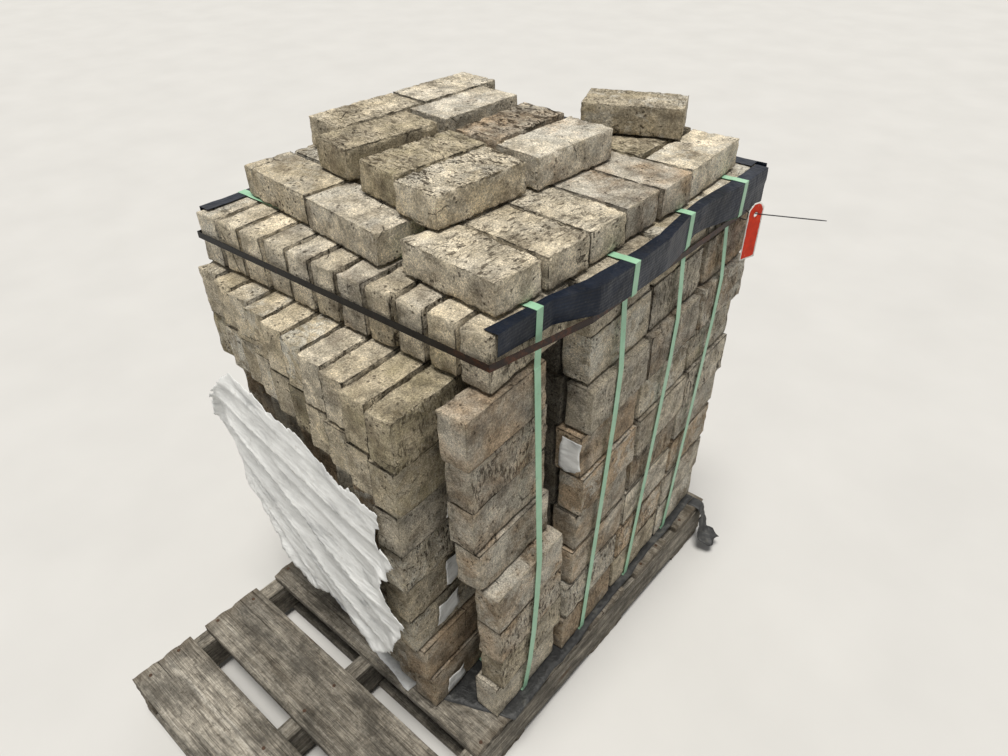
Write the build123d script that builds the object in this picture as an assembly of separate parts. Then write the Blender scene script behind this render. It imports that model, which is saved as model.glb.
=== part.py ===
"""Pallet of weathered clay bricks, strapped, with loose bricks on top.

Built in millimetres, +Z up, with the pallet square to the axes and the floor
at z = 0. The bricks have a frame of their own, turned a little on the pallet:
in it x = 0 is the outer face of the top tier at the near corner and runs
negative to the left, y = 0 is near the front face of the top tier and runs
positive to the back. At the end everything moves so that the origin is the
centre of the bounding box's base.
"""
from build123d import *
from math import cos, radians, sin, tan
import os
import random

os.makedirs("parts", exist_ok=True)

# Bricks
brick_length = 200.0
brick_height = 101.0
brick_width = 60.0
brick_wear = 3.5

# Pallet
board_length = 680.0
board_width = 140.0
board_thickness = 18.0
board_end_x = 33.0
bottom_board_count = 4
free_board_fronts = (-470.0, -295.0)
first_loaded_board_front = -107.0
loaded_board_pitch = 191.0
loaded_board_count = 5
stringer_height = 89.0
stringer_width = 38.0
board_edge_wear = 1.5

# Stack: how the tiers stand on the pallet
stack_yaw = 2.6
slip_sheet_thickness = 1.0
slip_sheet_side = 46.0
slip_sheet_inset = 20.0
flap_width = 45.0
# How far out and how far down from the sheet's edge the torn end runs
flap_run = ((33.0, 0.0), (51.0, 82.0), (93.0, 94.0))
strap_thickness = 0.6
film_clearance = 0.3
snug = 0.1
tier_gap = 0.5
column_gap = 2.7
front_row_gap = 1.7
row_gap = 5.2
yaw_room = 0.6

# One value a tier, from tier 1 at the bottom to tier 8, which is the one
# below the top tier. The tiers have slid over each other.
corner_forward = (24.0, 16.0, 28.0, 29.0, 42.0, 43.0, 48.0, 60.0)
corner_outward = (19.0, 28.0, 33.0, 35.0, 4.0, -3.0, 3.0, 9.0)
side_slot = (8.0, 7.0, 30.0, 39.0, 54.0, 51.0, 62.0, 82.0)
side_outward = (32.0, 34.0, 33.0, 32.0, 41.0, 35.0, 45.0, 31.0)
front_row_end = (-95.0, -100.0, -110.0, -107.0, -97.0, -90.0, -81.0, -72.0)
front_row_bulge = (86.0, 96.0, 104.0, 111.0, 117.0, 122.0, 127.0, 127.0)
front_row_far_bulge = (-15.0, -10.0, -5.0, 0.0, 5.0, 10.0, 15.0, 20.0)
front_row_count = (8, 8, 8, 9, 9, 9, 10, 10)
back_row_count = (10, 10, 10, 11, 11, 11, 11, 11)
last_row_gap = (5.0, 6.0, 7.0, 8.0, 9.0, 10.0, 12.0, 13.0)

# Top tier
top_columns = 11
top_front = 5.0
top_row_outward = (0.0, 35.0, 34.0, 32.0)

# Random shifts, small beside the gaps
shift_along = 2.5
shift_yaw = 0.3
dice = random.Random(7)

# Edge protectors. The one on the strapped side is bent to follow the rows of
# the top tier. One line a station: how many rows from the front, how far out
# its fold is, where its top leaf ends and how deep its side leaf hangs.
protector_thickness = 0.6
protector_stations = (
    (0.07, 2.0, -22.0, 37.0),
    (0.50, 8.0, -7.0, 42.0),
    (0.67, 8.0, -5.0, 44.0),
    (1.02, 44.0, 14.0, 48.5),
    (1.39, 50.0, 24.0, 53.0),
    (2.02, 50.0, 29.0, 60.5),
    (2.44, 38.0, 22.0, 65.0),
    (2.61, 38.0, 20.0, 46.0),
    (2.80, 38.0, 18.0, 50.0),
    (3.34, 54.0, 28.0, 63.0),
    (3.60, 54.0, 30.0, 66.0),
    (3.90, 57.0, 30.0, 69.0),
)
left_leaf_width = 25.0
rear_leg = 60.0
rear_flange = 30.0
rear_overhang = 16.0

# Straps: how many rows from the front each crosses the top edge and the foot
strap_width = 16.0
strap_crossings = ((0.51, 0.29), (1.50, 1.25), (2.53, 2.18), (3.45, 3.09))
strap_step = 8.0
strap_clearance = 2.0
strap_overrun = 50.0
cut_reach = 2000.0

# Steel band round the top tier
band_height = 13.0
band_thickness = 0.8
band_drop_front = 46.0
band_drop_slope = 0.058

# Tag on its cable tie
tie_thickness = 1.2
tie_width = 4.0
tie_y = 770.0
tie_loop_reach = 17.0
tie_loop_margin = 2.5
tie_tail = 154.0
tie_tail_rise = 9.4
tie_tail_start = 6.0
tag_width = 42.0
tag_height = 125.0
tag_thickness = 0.5
tag_hole_radius = 4.0
tag_hole_drop = 1.8
tag_border = 20.0
tag_x = 64.0
tag_turn = 70.0

# Film
film_thickness = 1.0

deck_top = 2 * board_thickness + stringer_height
slip_sheet_base = deck_top + snug
strap_base = slip_sheet_base + slip_sheet_thickness + snug
brick_base = strap_base + strap_thickness + snug
tier_pitch = brick_height + tier_gap
row_pitch = brick_length + row_gap
column_pitch = brick_width + column_gap
front_row_pitch = brick_width + front_row_gap
lower_tiers = len(corner_forward)
top_base = brick_base + lower_tiers * tier_pitch
top_face = top_base + brick_height
loose_clearance = strap_thickness + 3 * snug
pallet_front = free_board_fronts[0]
pallet_back = first_loaded_board_front + (loaded_board_count - 1) * loaded_board_pitch + board_width


def worn_block(size_x, size_y, size_z, wear):
    block = Box(size_x, size_y, size_z)
    return chamfer(block.edges(), wear)


standing_brick = worn_block(brick_width, brick_length, brick_height, brick_wear)
lying_brick = worn_block(brick_length, brick_height, brick_width, brick_wear)


def stand(right, front, base):
    """One brick on edge, its right face at x = right and its front at y = front."""
    x = right - brick_width / 2
    y = front + brick_length / 2 + dice.uniform(-shift_along, shift_along)
    yaw = dice.uniform(-shift_yaw, shift_yaw)
    return standing_brick.moved(Location((x, y, base + brick_height / 2), (0, 0, yaw)))


def lay(x, y, yaw, base):
    """One brick lying flat with its length along x before it turns by yaw."""
    return lying_brick.moved(Location((x, y, base + brick_width / 2), (0, 0, yaw)))


def tier_base(tier):
    return brick_base + tier * tier_pitch


def row_starts(tier):
    """The front faces of rows 2, 3 and 4 on the strapped side."""
    second = brick_length - corner_forward[tier] + side_slot[tier]
    third = second + row_pitch
    fourth = third + brick_length + last_row_gap[tier]
    return second, third, fourth


def row_position(rows):
    """The y of a place that is so many rows from the front of the top tier."""
    return top_front + rows * row_pitch


def along(points, y):
    """The x at y on a line through (y, x) points in order of y."""
    for (y1, x1), (y2, x2) in zip(points, points[1:]):
        if y <= y2:
            break
    return x1 + (x2 - x1) * (y - y1) / (y2 - y1)


def front_of_row_brick(tier, index):
    """The front row fans out: its near bricks stand furthest forward."""
    share = index / (front_row_count[tier] - 1)
    near = -front_row_bulge[tier]
    far = -front_row_far_bulge[tier]
    return near + share * (far - near)


def left_row_starts(tier):
    """The front faces of rows 2, 3 and 4 on the side away from the straps' crossing."""
    first = -front_row_far_bulge[tier]
    step = brick_length + 2 * shift_along + row_gap
    return first + step, first + 2 * step, first + 3 * step


def left_end(tier):
    return front_row_end[tier] - front_row_count[tier] * front_row_pitch


def lower_tier(tier):
    """The bricks on the outside of one of the tiers below the top one."""
    base = tier_base(tier)
    second, third, fourth = row_starts(tier)
    bricks = [stand(corner_outward[tier], -corner_forward[tier], base)]
    for index in range(front_row_count[tier]):
        right = front_row_end[tier] - index * front_row_pitch
        bricks.append(stand(right, front_of_row_brick(tier, index), base))
    for front in (second, third):
        bricks.append(stand(side_outward[tier], front, base))
    left_column = left_end(tier) + front_row_pitch
    left_second, left_third, left_fourth = left_row_starts(tier)
    for front in (left_second, left_third):
        bricks.append(stand(left_column, front, base))
    for index in range(back_row_count[tier]):
        share = index / (back_row_count[tier] - 1)
        front = fourth + share * (left_fourth - fourth)
        bricks.append(stand(side_outward[tier] - index * column_pitch, front, base))
    return bricks


def top_tier():
    bricks = []
    for row, outward in enumerate(top_row_outward):
        front = row_position(row)
        pitch = (outward - brick_width - top_left()) / (top_columns - 1)
        for column in range(top_columns):
            bricks.append(stand(outward - column * pitch, front, top_base))
    return bricks


def hidden_core():
    """Plain filling for the bricks nobody sees, stepped with the tiers."""
    room = 2 * shift_along
    core = None
    for tier in range(lower_tiers):
        second, third, fourth = row_starts(tier)
        right = side_outward[tier] - brick_width - room
        near_right = front_row_end[tier] - room
        left = left_end(tier) + front_row_pitch + room
        near_front = brick_length - front_row_bulge[tier] + 3 * room
        far_front = brick_length - front_row_far_bulge[tier] + room
        back = fourth - 3 * room
        far_back = left_row_starts(tier)[2] - 3 * room
        outline = [
            (near_right, near_front),
            (near_right, second),
            (right, second),
            (right, back),
            (left, far_back),
            (left, far_front),
        ]
        face = make_face(Polyline(*outline, close=True))
        step = Pos(0, 0, tier_base(tier)) * extrude(face, tier_pitch if tier < lower_tiers - 1 else brick_height)
        core = step if core is None else core + step
    return core


def deck_board(front):
    board = worn_block(board_length, board_width, board_thickness, board_edge_wear)
    x = board_end_x - board_length / 2
    return Pos(x, front + board_width / 2, deck_top - board_thickness / 2) * board


def bottom_board(front):
    return Pos(0, 0, board_thickness - deck_top) * deck_board(front)


def stringer(centre_x):
    length = pallet_back - pallet_front
    beam = worn_block(stringer_width, length, stringer_height, board_edge_wear)
    z = board_thickness + stringer_height / 2
    return Pos(centre_x, (pallet_front + pallet_back) / 2, z) * beam


def slip_sheet():
    """Black sheet under the bricks. It shows along the foot of the strapped side."""
    inset = slip_sheet_inset
    left = left_end(0) + inset
    far = slip_sheet_far()
    outline = [
        (left, inset - front_row_far_bulge[0]),
        (front_row_end[0] - inset, inset - front_row_bulge[0]),
        (slip_sheet_side, inset - corner_forward[0]),
        (slip_sheet_side, far),
        (left, far),
    ]
    face = make_face(Polyline(*outline, close=True))
    return Pos(0, 0, slip_sheet_base) * extrude(face, slip_sheet_thickness)


def slip_sheet_far():
    return row_starts(0)[2] + brick_length - slip_sheet_inset / 2


def convex_chain(points):
    """The outer hull of 2-D points, counter-clockwise."""
    points = sorted(set(points))

    def half(sequence):
        chain = []
        for point in sequence:
            while len(chain) > 1:
                (ax, ay), (bx, by) = chain[-2], chain[-1]
                if (bx - ax) * (point[1] - ay) - (by - ay) * (point[0] - ax) > 0:
                    break
                chain.pop()
            chain.append(point)
        return chain[:-1]

    return half(points) + half(points[::-1])


def slanting_slab(first, second, width):
    """Everything within width of a slanting plane, to cut a loop out of a prism.

    first and second are (u, v) points on the middle line, in the YZ plane.
    """
    (u1, v1), (u2, v2) = first, second
    corners = [(u1 - width / 2, v1), (u1 + width / 2, v1), (u2 + width / 2, v2), (u2 - width / 2, v2)]
    face = make_face(Plane.YZ * Polyline(*corners, close=True))
    return Pos(-cut_reach, 0, 0) * extrude(face, 2 * cut_reach, dir=(1, 0, 0))


def top_left():
    """The left face of the top tier. Its rows end in line there."""
    return top_row_outward[0] - (top_columns - 1) * column_pitch - brick_width


def top_back():
    rows = len(top_row_outward)
    return row_position(rows) - row_gap + shift_along + yaw_room


def right_fold():
    return [(row_position(rows), out) for rows, out, inner, drop in protector_stations]


def right_drops():
    return [(row_position(rows), drop) for rows, out, inner, drop in protector_stations]


def right_leaf_end():
    return [(row_position(rows), inner) for rows, out, inner, drop in protector_stations]


def left_fold():
    """The left protector is straight."""
    x = top_left() - yaw_room - 3 * snug
    near_y = row_position(protector_stations[0][0])
    far_y = row_position(protector_stations[-1][0])
    return [(near_y, x), (far_y, x)]


def edge_protector(fold, leaf_end, drops):
    """A bent angle of thin sheet: a top leaf and a side leaf that hangs from the fold.

    Each argument is a line of points in order of y: (y, x), (y, x) and (y, drop).
    """
    thickness = protector_thickness
    outward = 1 if fold[0][1] > leaf_end[0][1] else -1
    inner_line = [(x, y) for y, x in fold]
    outer_line = [(x + outward * thickness, y) for y, x in fold]
    leaf_line = [(x, y) for y, x in leaf_end]
    top = top_face + snug
    leaf = make_face(Polyline(*outer_line, *leaf_line[::-1], close=True))
    leaf = Pos(0, 0, top) * extrude(leaf, thickness)
    wall = make_face(Polyline(*outer_line, *inner_line[::-1], close=True))
    wall = Pos(0, 0, top_base) * extrude(wall, brick_height + snug)
    lower_edge = [(y, top_face - drop) for y, drop in drops]
    side = [(drops[-1][0], top), (drops[0][0], top)] + lower_edge
    side_face = make_face(Plane.YZ * Polyline(*side, close=True))
    band_of_view = Pos(-cut_reach, 0, 0) * extrude(side_face, 2 * cut_reach, dir=(1, 0, 0))
    return leaf + (wall & band_of_view)


def edge_protector_right():
    return edge_protector(right_fold(), right_leaf_end(), right_drops())


def edge_protector_left():
    fold = left_fold()
    leaf_end = [(y, x + left_leaf_width) for y, x in fold]
    near_drop = protector_stations[0][3]
    drops = [(y, near_drop + band_drop_slope * (y - fold[0][0])) for y, x in fold]
    return edge_protector(fold, leaf_end, drops)


def edge_protector_rear():
    """Runs along the back edge of the top tier, between the other two."""
    back = top_back() + snug
    right = right_leaf_end()[-1][1] - 2
    left = left_fold()[-1][1] + left_leaf_width + 2
    leg_right = top_row_outward[-1] + rear_overhang
    flange = Box(right - left, rear_flange, protector_thickness, align=(Align.MIN, Align.MAX, Align.MIN))
    flange = Pos(left, back + protector_thickness, top_face + snug) * flange
    leg = Box(leg_right - left, protector_thickness, rear_leg, align=(Align.MIN, Align.MIN, Align.MAX))
    leg = Pos(left, back, top_face + snug + protector_thickness) * leg
    return flange + leg


def band_outline():
    """The band's inner face in plan. On the strapped side it leaves room for the cable tie."""
    room = yaw_room + snug
    tie_room = room + tie_thickness + snug
    front = top_front - shift_along - room
    back = top_back() + snug
    left = top_left() - room
    points = [(left, front), (left, back)]
    for row, outward in enumerate(top_row_outward):
        points.append((outward + tie_room, front if row == 0 else row_position(row)))
    points.append((top_row_outward[-1] + tie_room, back))
    return convex_chain(points)


def band_inner_right(y):
    """The x of the band's inner face on the strapped side."""
    strapped_side = sorted((py, px) for px, py in band_outline() if px > 0)
    return along(strapped_side, y)


def band_middle(y):
    return top_face - band_drop_front - band_drop_slope * y


def steel_band():
    """Flat band round the top tier, lower at the back."""
    face = make_face(Polyline(*band_outline(), close=True))
    wall = offset(face, band_thickness, kind=Kind.INTERSECTION) - face
    prism = Pos(0, 0, top_base - strap_overrun) * extrude(wall, brick_height + strap_overrun)
    half = band_height / 2
    near_y = -strap_overrun
    far_y = top_back() + strap_overrun
    corners = [
        (near_y, band_middle(near_y) - half),
        (far_y, band_middle(far_y) - half),
        (far_y, band_middle(far_y) + half),
        (near_y, band_middle(near_y) + half),
    ]
    slab_face = make_face(Plane.YZ * Polyline(*corners, close=True))
    slab = Pos(-cut_reach, 0, 0) * extrude(slab_face, 2 * cut_reach, dir=(1, 0, 0))
    return prism & slab


def strap(rows_top, rows_foot):
    """A strap loop: over the top tier, down both sides and under the bricks.

    On the strapped side the steel band lies over the straps and holds them in.
    """
    crossing_top = row_position(rows_top)
    crossing_foot = row_position(rows_foot)
    row = int(rows_top)
    last_row = len(top_row_outward) - 1
    room = yaw_room
    points = []
    for tier in range(lower_tiers):
        right = corner_outward[tier] if row == 0 else side_outward[tier]
        left = left_end(tier)
        if row == last_row:
            left = side_outward[tier] - (back_row_count[tier] - 1) * column_pitch - brick_width
        low = tier_base(tier) - (snug if tier == 0 else 0)
        for z in (low, low + brick_height):
            points += [(right + room, z), (left - room, z)]
    flange_top = top_face + protector_thickness + 2 * snug
    edge = strap_width / 2
    right_face = along(right_fold(), crossing_top) + protector_thickness + snug
    left_face = along(left_fold(), crossing_top) - protector_thickness - snug
    points += [(left_face, flange_top), (left_face, top_base)]
    over_edge = [(right_face, flange_top)]
    if row > 0:
        held_x = band_inner_right(crossing_top + edge) - snug - strap_thickness
        held_z = band_middle(crossing_top)
        held_height = band_height / 2 + strap_clearance
        drop = max(along(right_drops(), crossing_top + side) for side in (-edge, edge))
        leg_end = top_face - drop - strap_clearance
        over_edge = [(held_x, held_z + held_height), (right_face, leg_end), (right_face, flange_top)]
        turn = (held_x, held_z - held_height)
    else:
        turn = (right_face, top_base)
    points.append(turn)
    outline = convex_chain(points)
    right_leaf = along(right_leaf_end(), crossing_top) - 1
    left_leaf = along(left_fold(), crossing_top) + left_leaf_width + 1
    dip = [
        (right_leaf, flange_top),
        (right_leaf - strap_step, top_face + snug),
        (left_leaf + strap_step, top_face + snug),
        (left_leaf, flange_top),
    ]
    start = outline.index(turn)
    outline = outline[: start + 1] + over_edge + dip + outline[start + 1:]
    ring = make_face(Plane.XZ * Polyline(*outline, close=True))
    wall = offset(ring, strap_thickness, kind=Kind.INTERSECTION) - ring
    reach = 2 * brick_length
    middle = (crossing_top + crossing_foot) / 2
    prism = Pos(0, middle + reach, 0) * extrude(wall, 2 * reach, dir=(0, -1, 0))
    slope = (crossing_top - crossing_foot) / (top_face - deck_top)
    top = (crossing_top + slope * strap_overrun, top_face + strap_overrun)
    foot = (crossing_foot - slope * strap_overrun, deck_top - strap_overrun)
    return prism & slanting_slab(top, foot, strap_width)


def tie_tail_line():
    """Where the cable tie's tail leaves its loop: x and z."""
    x = top_row_outward[-1] + yaw_room + tie_loop_reach - tie_thickness / 2
    return x, band_middle(tie_y) + tie_tail_start


def cable_tie():
    """A loop round the steel band with a long tail."""
    inner = top_row_outward[-1] + yaw_room
    height = band_height + 2 * tie_loop_margin
    place = Pos(inner, tie_y, band_middle(tie_y))
    outside = Box(tie_loop_reach, tie_width, height + 2 * tie_thickness, align=(Align.MIN, Align.CENTER, Align.CENTER))
    room = Box(tie_loop_reach - 2 * tie_thickness, tie_width, height, align=(Align.MIN, Align.CENTER, Align.CENTER))
    loop = place * (outside - Pos(tie_thickness, 0, 0) * room)
    x, z = tie_tail_line()
    tail = Box(tie_tail, tie_width, tie_thickness, align=(Align.MIN, Align.CENTER, Align.CENTER))
    return loop + Pos(x, tie_y, z) * Rot(0, -tie_tail_rise, 0) * tail


def tag():
    """A bare tag that hangs on the cable tie's tail."""
    start_x, start_z = tie_tail_line()
    tail_z = start_z + (tag_x - start_x) * tan(radians(tie_tail_rise))
    plate = Box(tag_width, tag_thickness, tag_height, align=(Align.CENTER, Align.CENTER, Align.MAX))
    plate = Pos(0, 0, tag_hole_radius + tag_border) * plate
    hole = Pos(0, 0, -tag_hole_drop) * Rot(90, 0, 0) * Cylinder(tag_hole_radius, 10)
    return Pos(tag_x, tie_y, tail_z) * Rot(0, 0, tag_turn) * (plate - hole)


# Loose bricks: middle x, middle y and yaw of the brick's length from x.
loose_lower = (
    (-115, 103.5, -5.2),
    (-100, 206, -4.6),
    (-97, 308.5, -4.0),
    (-97, 411.5, -3.0),
    (-88, 514.2, -2.2),
    (-42, 666, 90.5),
    (-150, 671, 89.0),
    (-352, 115, -7.5),
    (-314, 220, -4.6),
    (-310, 324, -4.0),
    (-304, 428, -3.0),
    (-308, 531, -2.2),
    (-555, 144, -7.0),
    (-542, 251, -4.0),
    (-526, 355, -4.0),
    (-519, 459, -3.0),
    (-518, 563, -2.2),
)
loose_upper = (
    (-221, 212, 84.0),
    (-325, 237, 82.0),
    (-466, 267, 80.0),
    (-190, 426, 84.0),
    (-303, 445, 88.0),
    (-444, 480, 85.4),
    (-565, 334, 83.0),
    (-546, 536, 85.0),
    (-186, 690, 22.0),
)


def loose_bricks(places, base):
    return [lay(x, y, yaw, base) for x, y, yaw in places]


# The front film hangs in a plane that follows the fan of the front row.
film_slope = 9.9
film_near = (-87.0, -134.0)


def film_plane():
    """Local x runs along the front to the right, local y runs up."""
    x_direction = (cos(radians(film_slope)), -sin(radians(film_slope)), 0)
    normal = (-sin(radians(film_slope)), -cos(radians(film_slope)), 0)
    return Plane(origin=(film_near[0], film_near[1], top_face), x_dir=x_direction, z_dir=normal)


def film_patch(outline, plane):
    face = make_face(plane * Polyline(*outline, close=True))
    return extrude(face, film_thickness, dir=tuple(plane.z_dir))


# Outline of the torn film: along the front from its near end, and up from the
# top of the stack.
film_outline = (
    (-574, -322), (-466, -318), (-396, -325), (-312, -305), (-238, -314), (-176, -325),
    (-94, -317), (-44, -313), (-37, -380), (-11, -406), (-46, -484), (-40, -558),
    (-4, -562), (-56, -700), (-118, -742), (-168, -725), (-222, -718), (-280, -735),
    (-330, -760), (-400, -790), (-520, -694), (-615, -660), (-645, -566), (-690, -513),
    (-695, -467), (-628, -376),
)


def film_sheet():
    return film_patch(film_outline, film_plane())


# A folded strip of film on the deck along the foot of the front row.
film_tail_outline = ((-515, -22), (-172, -92), (-165, -62), (-506, 6))


def film_tail():
    face = make_face(Polyline(*film_tail_outline, close=True))
    return Pos(0, 0, deck_top + snug) * extrude(face, film_thickness)


# Film scraps on the near end of the front row: height over the bricks' base,
# how tall, low and high y.
row_end_scraps = (
    (519.5, 36.0, -17.0, 16.0),
    (316.5, 78.0, -16.0, 31.0),
    (225.0, 62.0, -45.0, 19.0),
    (12.0, 50.0, -50.0, 4.0),
)
# One more stands in the slot behind the corner bricks: height, how tall, low
# and high x.
slot_scrap = (515.5, 84.0, -12.0, 38.0)
slot_scrap_forward = 2.0


def film_scraps():
    scraps = []
    for low, height, low_y, high_y in row_end_scraps:
        tier = int(low // tier_pitch)
        scrap = Box(film_thickness, high_y - low_y, height, align=(Align.MIN, Align.MIN, Align.MIN))
        x = front_row_end[tier] + film_clearance + yaw_room
        scraps.append(Pos(x, low_y, brick_base + low) * scrap)
    low, height, low_x, high_x = slot_scrap
    scrap = Box(high_x - low_x, film_thickness, height, align=(Align.MIN, Align.MAX, Align.MIN))
    front = row_starts(int(low // tier_pitch))[0] - slot_scrap_forward
    scraps.append(Pos(low_x, front, brick_base + low) * scrap)
    return scraps


def slip_sheet_flap():
    """Torn end of the slip sheet that droops past the pallet's far corner."""
    top = slip_sheet_base + slip_sheet_thickness
    line = [(slip_sheet_side + snug, top)]
    line += [(slip_sheet_side + out, top - down) for out, down in flap_run]
    underside = [(x, z - slip_sheet_thickness) for x, z in reversed(line)]
    side = line + underside
    face = make_face(Plane.XZ * Polyline(*side, close=True))
    return Pos(0, slip_sheet_far(), 0) * extrude(face, flap_width)


def place_stack(shape):
    """Turn a piece from the bricks' own frame onto the pallet."""
    pivot = Pos(board_end_x, first_loaded_board_front, 0)
    return pivot * Rot(0, 0, stack_yaw) * Pos(-board_end_x, -first_loaded_board_front, 0) * shape


pallet_nodes = {}
board_fronts = list(free_board_fronts)
for index in range(loaded_board_count):
    board_fronts.append(first_loaded_board_front + index * loaded_board_pitch)
for number, front in enumerate(board_fronts, start=1):
    pallet_nodes[f"deck_board_{number}"] = [deck_board(front)]
bottom_pitch = (pallet_back - board_width - pallet_front) / (bottom_board_count - 1)
for index in range(bottom_board_count):
    pallet_nodes[f"bottom_board_{index + 1}"] = [bottom_board(pallet_front + index * bottom_pitch)]
pallet_nodes["stringer_left"] = [stringer(board_end_x - board_length + stringer_width / 2)]
pallet_nodes["stringer_middle"] = [stringer(board_end_x - board_length / 2)]
pallet_nodes["stringer_right"] = [stringer(board_end_x - stringer_width / 2)]

stack_nodes = {"slip_sheet": [slip_sheet()]}
for tier in range(lower_tiers):
    stack_nodes[f"brick_tier_{tier + 1}"] = lower_tier(tier)
stack_nodes[f"brick_tier_{lower_tiers + 1}"] = top_tier()
stack_nodes["hidden_brick_core"] = [hidden_core()]
lower_base = top_face + loose_clearance
stack_nodes["loose_bricks_lower"] = loose_bricks(loose_lower, lower_base)
stack_nodes["loose_bricks_upper"] = loose_bricks(loose_upper, lower_base + brick_width + tier_gap)
for number, (rows_top, rows_foot) in enumerate(strap_crossings, start=1):
    stack_nodes[f"strap_{number}"] = [strap(rows_top, rows_foot)]
stack_nodes["steel_band"] = [steel_band()]
stack_nodes["edge_protector_right"] = [edge_protector_right()]
stack_nodes["edge_protector_left"] = [edge_protector_left()]
stack_nodes["edge_protector_rear"] = [edge_protector_rear()]
stack_nodes["cable_tie"] = [cable_tie()]
stack_nodes["tag"] = [tag()]
stack_nodes["film_sheet"] = [film_sheet()]
stack_nodes["film_tail"] = [film_tail()]
stack_nodes["film_scraps"] = film_scraps()
stack_nodes["slip_sheet_flap"] = [slip_sheet_flap()]

nodes = dict(pallet_nodes)
for name, solids in stack_nodes.items():
    nodes[name] = [place_stack(solid) for solid in solids]

whole = Compound([solid for solids in nodes.values() for solid in solids]).bounding_box()
to_origin = Pos(-(whole.min.X + whole.max.X) / 2, -(whole.min.Y + whole.max.Y) / 2, -whole.min.Z)
for name, solids in nodes.items():
    placed = [to_origin * solid for solid in solids]
    shape = placed[0] if len(placed) == 1 else Compound(placed)
    export_step(shape, f"parts/{name}.step")
print("origin shift", to_origin.position)
print("size", whole.size)
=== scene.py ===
"""Looks of a strapped pallet of weathered clay bricks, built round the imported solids.

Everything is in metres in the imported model's own frame: the origin is the middle of
the object's base, +Z is up and the pallet lies square to the axes. The stack stands
turned a little on the pallet, so its pieces have a frame of their own, in which x runs
to the strapped side, y from front to back and z up from the floor.
"""
import math

import bmesh
import bpy
import numpy as np
from mathutils import Matrix, Vector
from mathutils.geometry import delaunay_2d_cdt


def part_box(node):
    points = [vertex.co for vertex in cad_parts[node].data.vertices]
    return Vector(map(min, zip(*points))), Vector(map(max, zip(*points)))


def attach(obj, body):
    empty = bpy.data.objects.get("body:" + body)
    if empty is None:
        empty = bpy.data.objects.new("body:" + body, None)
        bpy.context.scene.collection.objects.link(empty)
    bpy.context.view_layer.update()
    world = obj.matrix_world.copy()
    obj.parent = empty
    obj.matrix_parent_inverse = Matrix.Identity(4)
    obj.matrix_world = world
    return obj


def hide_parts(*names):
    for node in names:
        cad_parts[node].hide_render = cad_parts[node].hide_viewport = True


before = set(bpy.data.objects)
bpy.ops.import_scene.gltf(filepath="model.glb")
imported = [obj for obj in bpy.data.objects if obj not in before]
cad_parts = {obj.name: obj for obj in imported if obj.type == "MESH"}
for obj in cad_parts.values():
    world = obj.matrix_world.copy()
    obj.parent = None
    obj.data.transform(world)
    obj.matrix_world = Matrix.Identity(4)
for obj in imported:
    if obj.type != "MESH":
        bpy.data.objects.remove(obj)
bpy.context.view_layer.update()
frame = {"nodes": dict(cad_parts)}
nodes = frame["nodes"]

MM = 0.001

# The stack's own frame
STACK_YAW = math.radians(2.6)
STACK_PIVOT = np.array((33.0, -107.0)) * MM
STACK_SHIFT = np.array((306.99, -185.112)) * MM
DECK_TOP = 125 * MM

# Bricks: length, height and width
BRICK = np.array((200.0, 101.0, 60.0)) * MM
TIERS = 9
STACK_EDGE_LINES = (0.0, 0.0018, 0.0052)
STACK_BRICK_PITCH = 0.0145
TOP_BRICK_PITCH = 0.010
STACK_WEAR = 0.0029
TOP_WEAR = 0.0040
LOOSE_EDGE_LINES = (0.0, 0.0015, 0.004, 0.008)
LOOSE_BRICK_PITCH = 0.0055
LOOSE_WEAR = 0.0023

# One line a loose brick: middle x and y in the stack's frame (mm), upper layer or
# not, tone, light, how torn its big faces are and how pale its bloom is.
LOOSE_LOOKS = (
    (-221, 212, 1, 0.45, 0.75, 0.95, 0.35),
    (-325, 237, 1, 0.14, 0.50, 0.75, 0.05),
    (-466, 267, 1, 0.18, 0.42, 0.65, 0.05),
    (-190, 426, 1, 0.72, 0.85, 0.05, 0.60),
    (-303, 445, 1, 0.92, 0.30, 1.00, 0.00),
    (-444, 480, 1, 0.68, 0.75, 0.05, 0.50),
    (-565, 334, 1, 0.35, 0.60, 0.60, 0.10),
    (-546, 536, 1, 0.55, 0.80, 0.30, 0.40),
    (-186, 690, 1, 0.30, 0.25, 0.40, 0.60),
    (-115, 104, 0, 0.46, 0.70, 0.80, 0.15),
    (-100, 206, 0, 0.42, 0.64, 0.80, 0.10),
    (-97, 309, 0, 0.46, 0.60, 0.65, 0.20),
    (-97, 412, 0, 0.85, 0.42, 0.10, 0.55),
    (-88, 514, 0, 0.82, 0.48, 0.05, 0.20),
    (-42, 666, 0, 0.50, 1.00, 0.05, 0.60),
    (-150, 671, 0, 0.20, 0.30, 0.80, 0.00),
    (-352, 115, 0, 0.58, 0.62, 0.15, 0.40),
    (-555, 144, 0, 0.34, 0.62, 0.10, 0.30),
)


def on_stack(points):
    """Points of the stack's frame, in the object's frame."""
    points = np.asarray(points, float)
    flat = points[..., :2] - STACK_PIVOT
    c, s = math.cos(STACK_YAW), math.sin(STACK_YAW)
    turned = np.stack((c * flat[..., 0] - s * flat[..., 1], s * flat[..., 0] + c * flat[..., 1]), -1)
    return np.concatenate((turned + STACK_PIVOT + STACK_SHIFT, points[..., 2:]), -1)


def from_stack(point):
    """The stack's x and y of a point of the object's frame."""
    flat = np.asarray(point[:2], float) - STACK_SHIFT - STACK_PIVOT
    c, s = math.cos(STACK_YAW), math.sin(STACK_YAW)
    return np.array((c * flat[0] + s * flat[1], c * flat[1] - s * flat[0])) + STACK_PIVOT


# Roughness of real surfaces: smooth seeded noise worked out on the points


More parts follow.
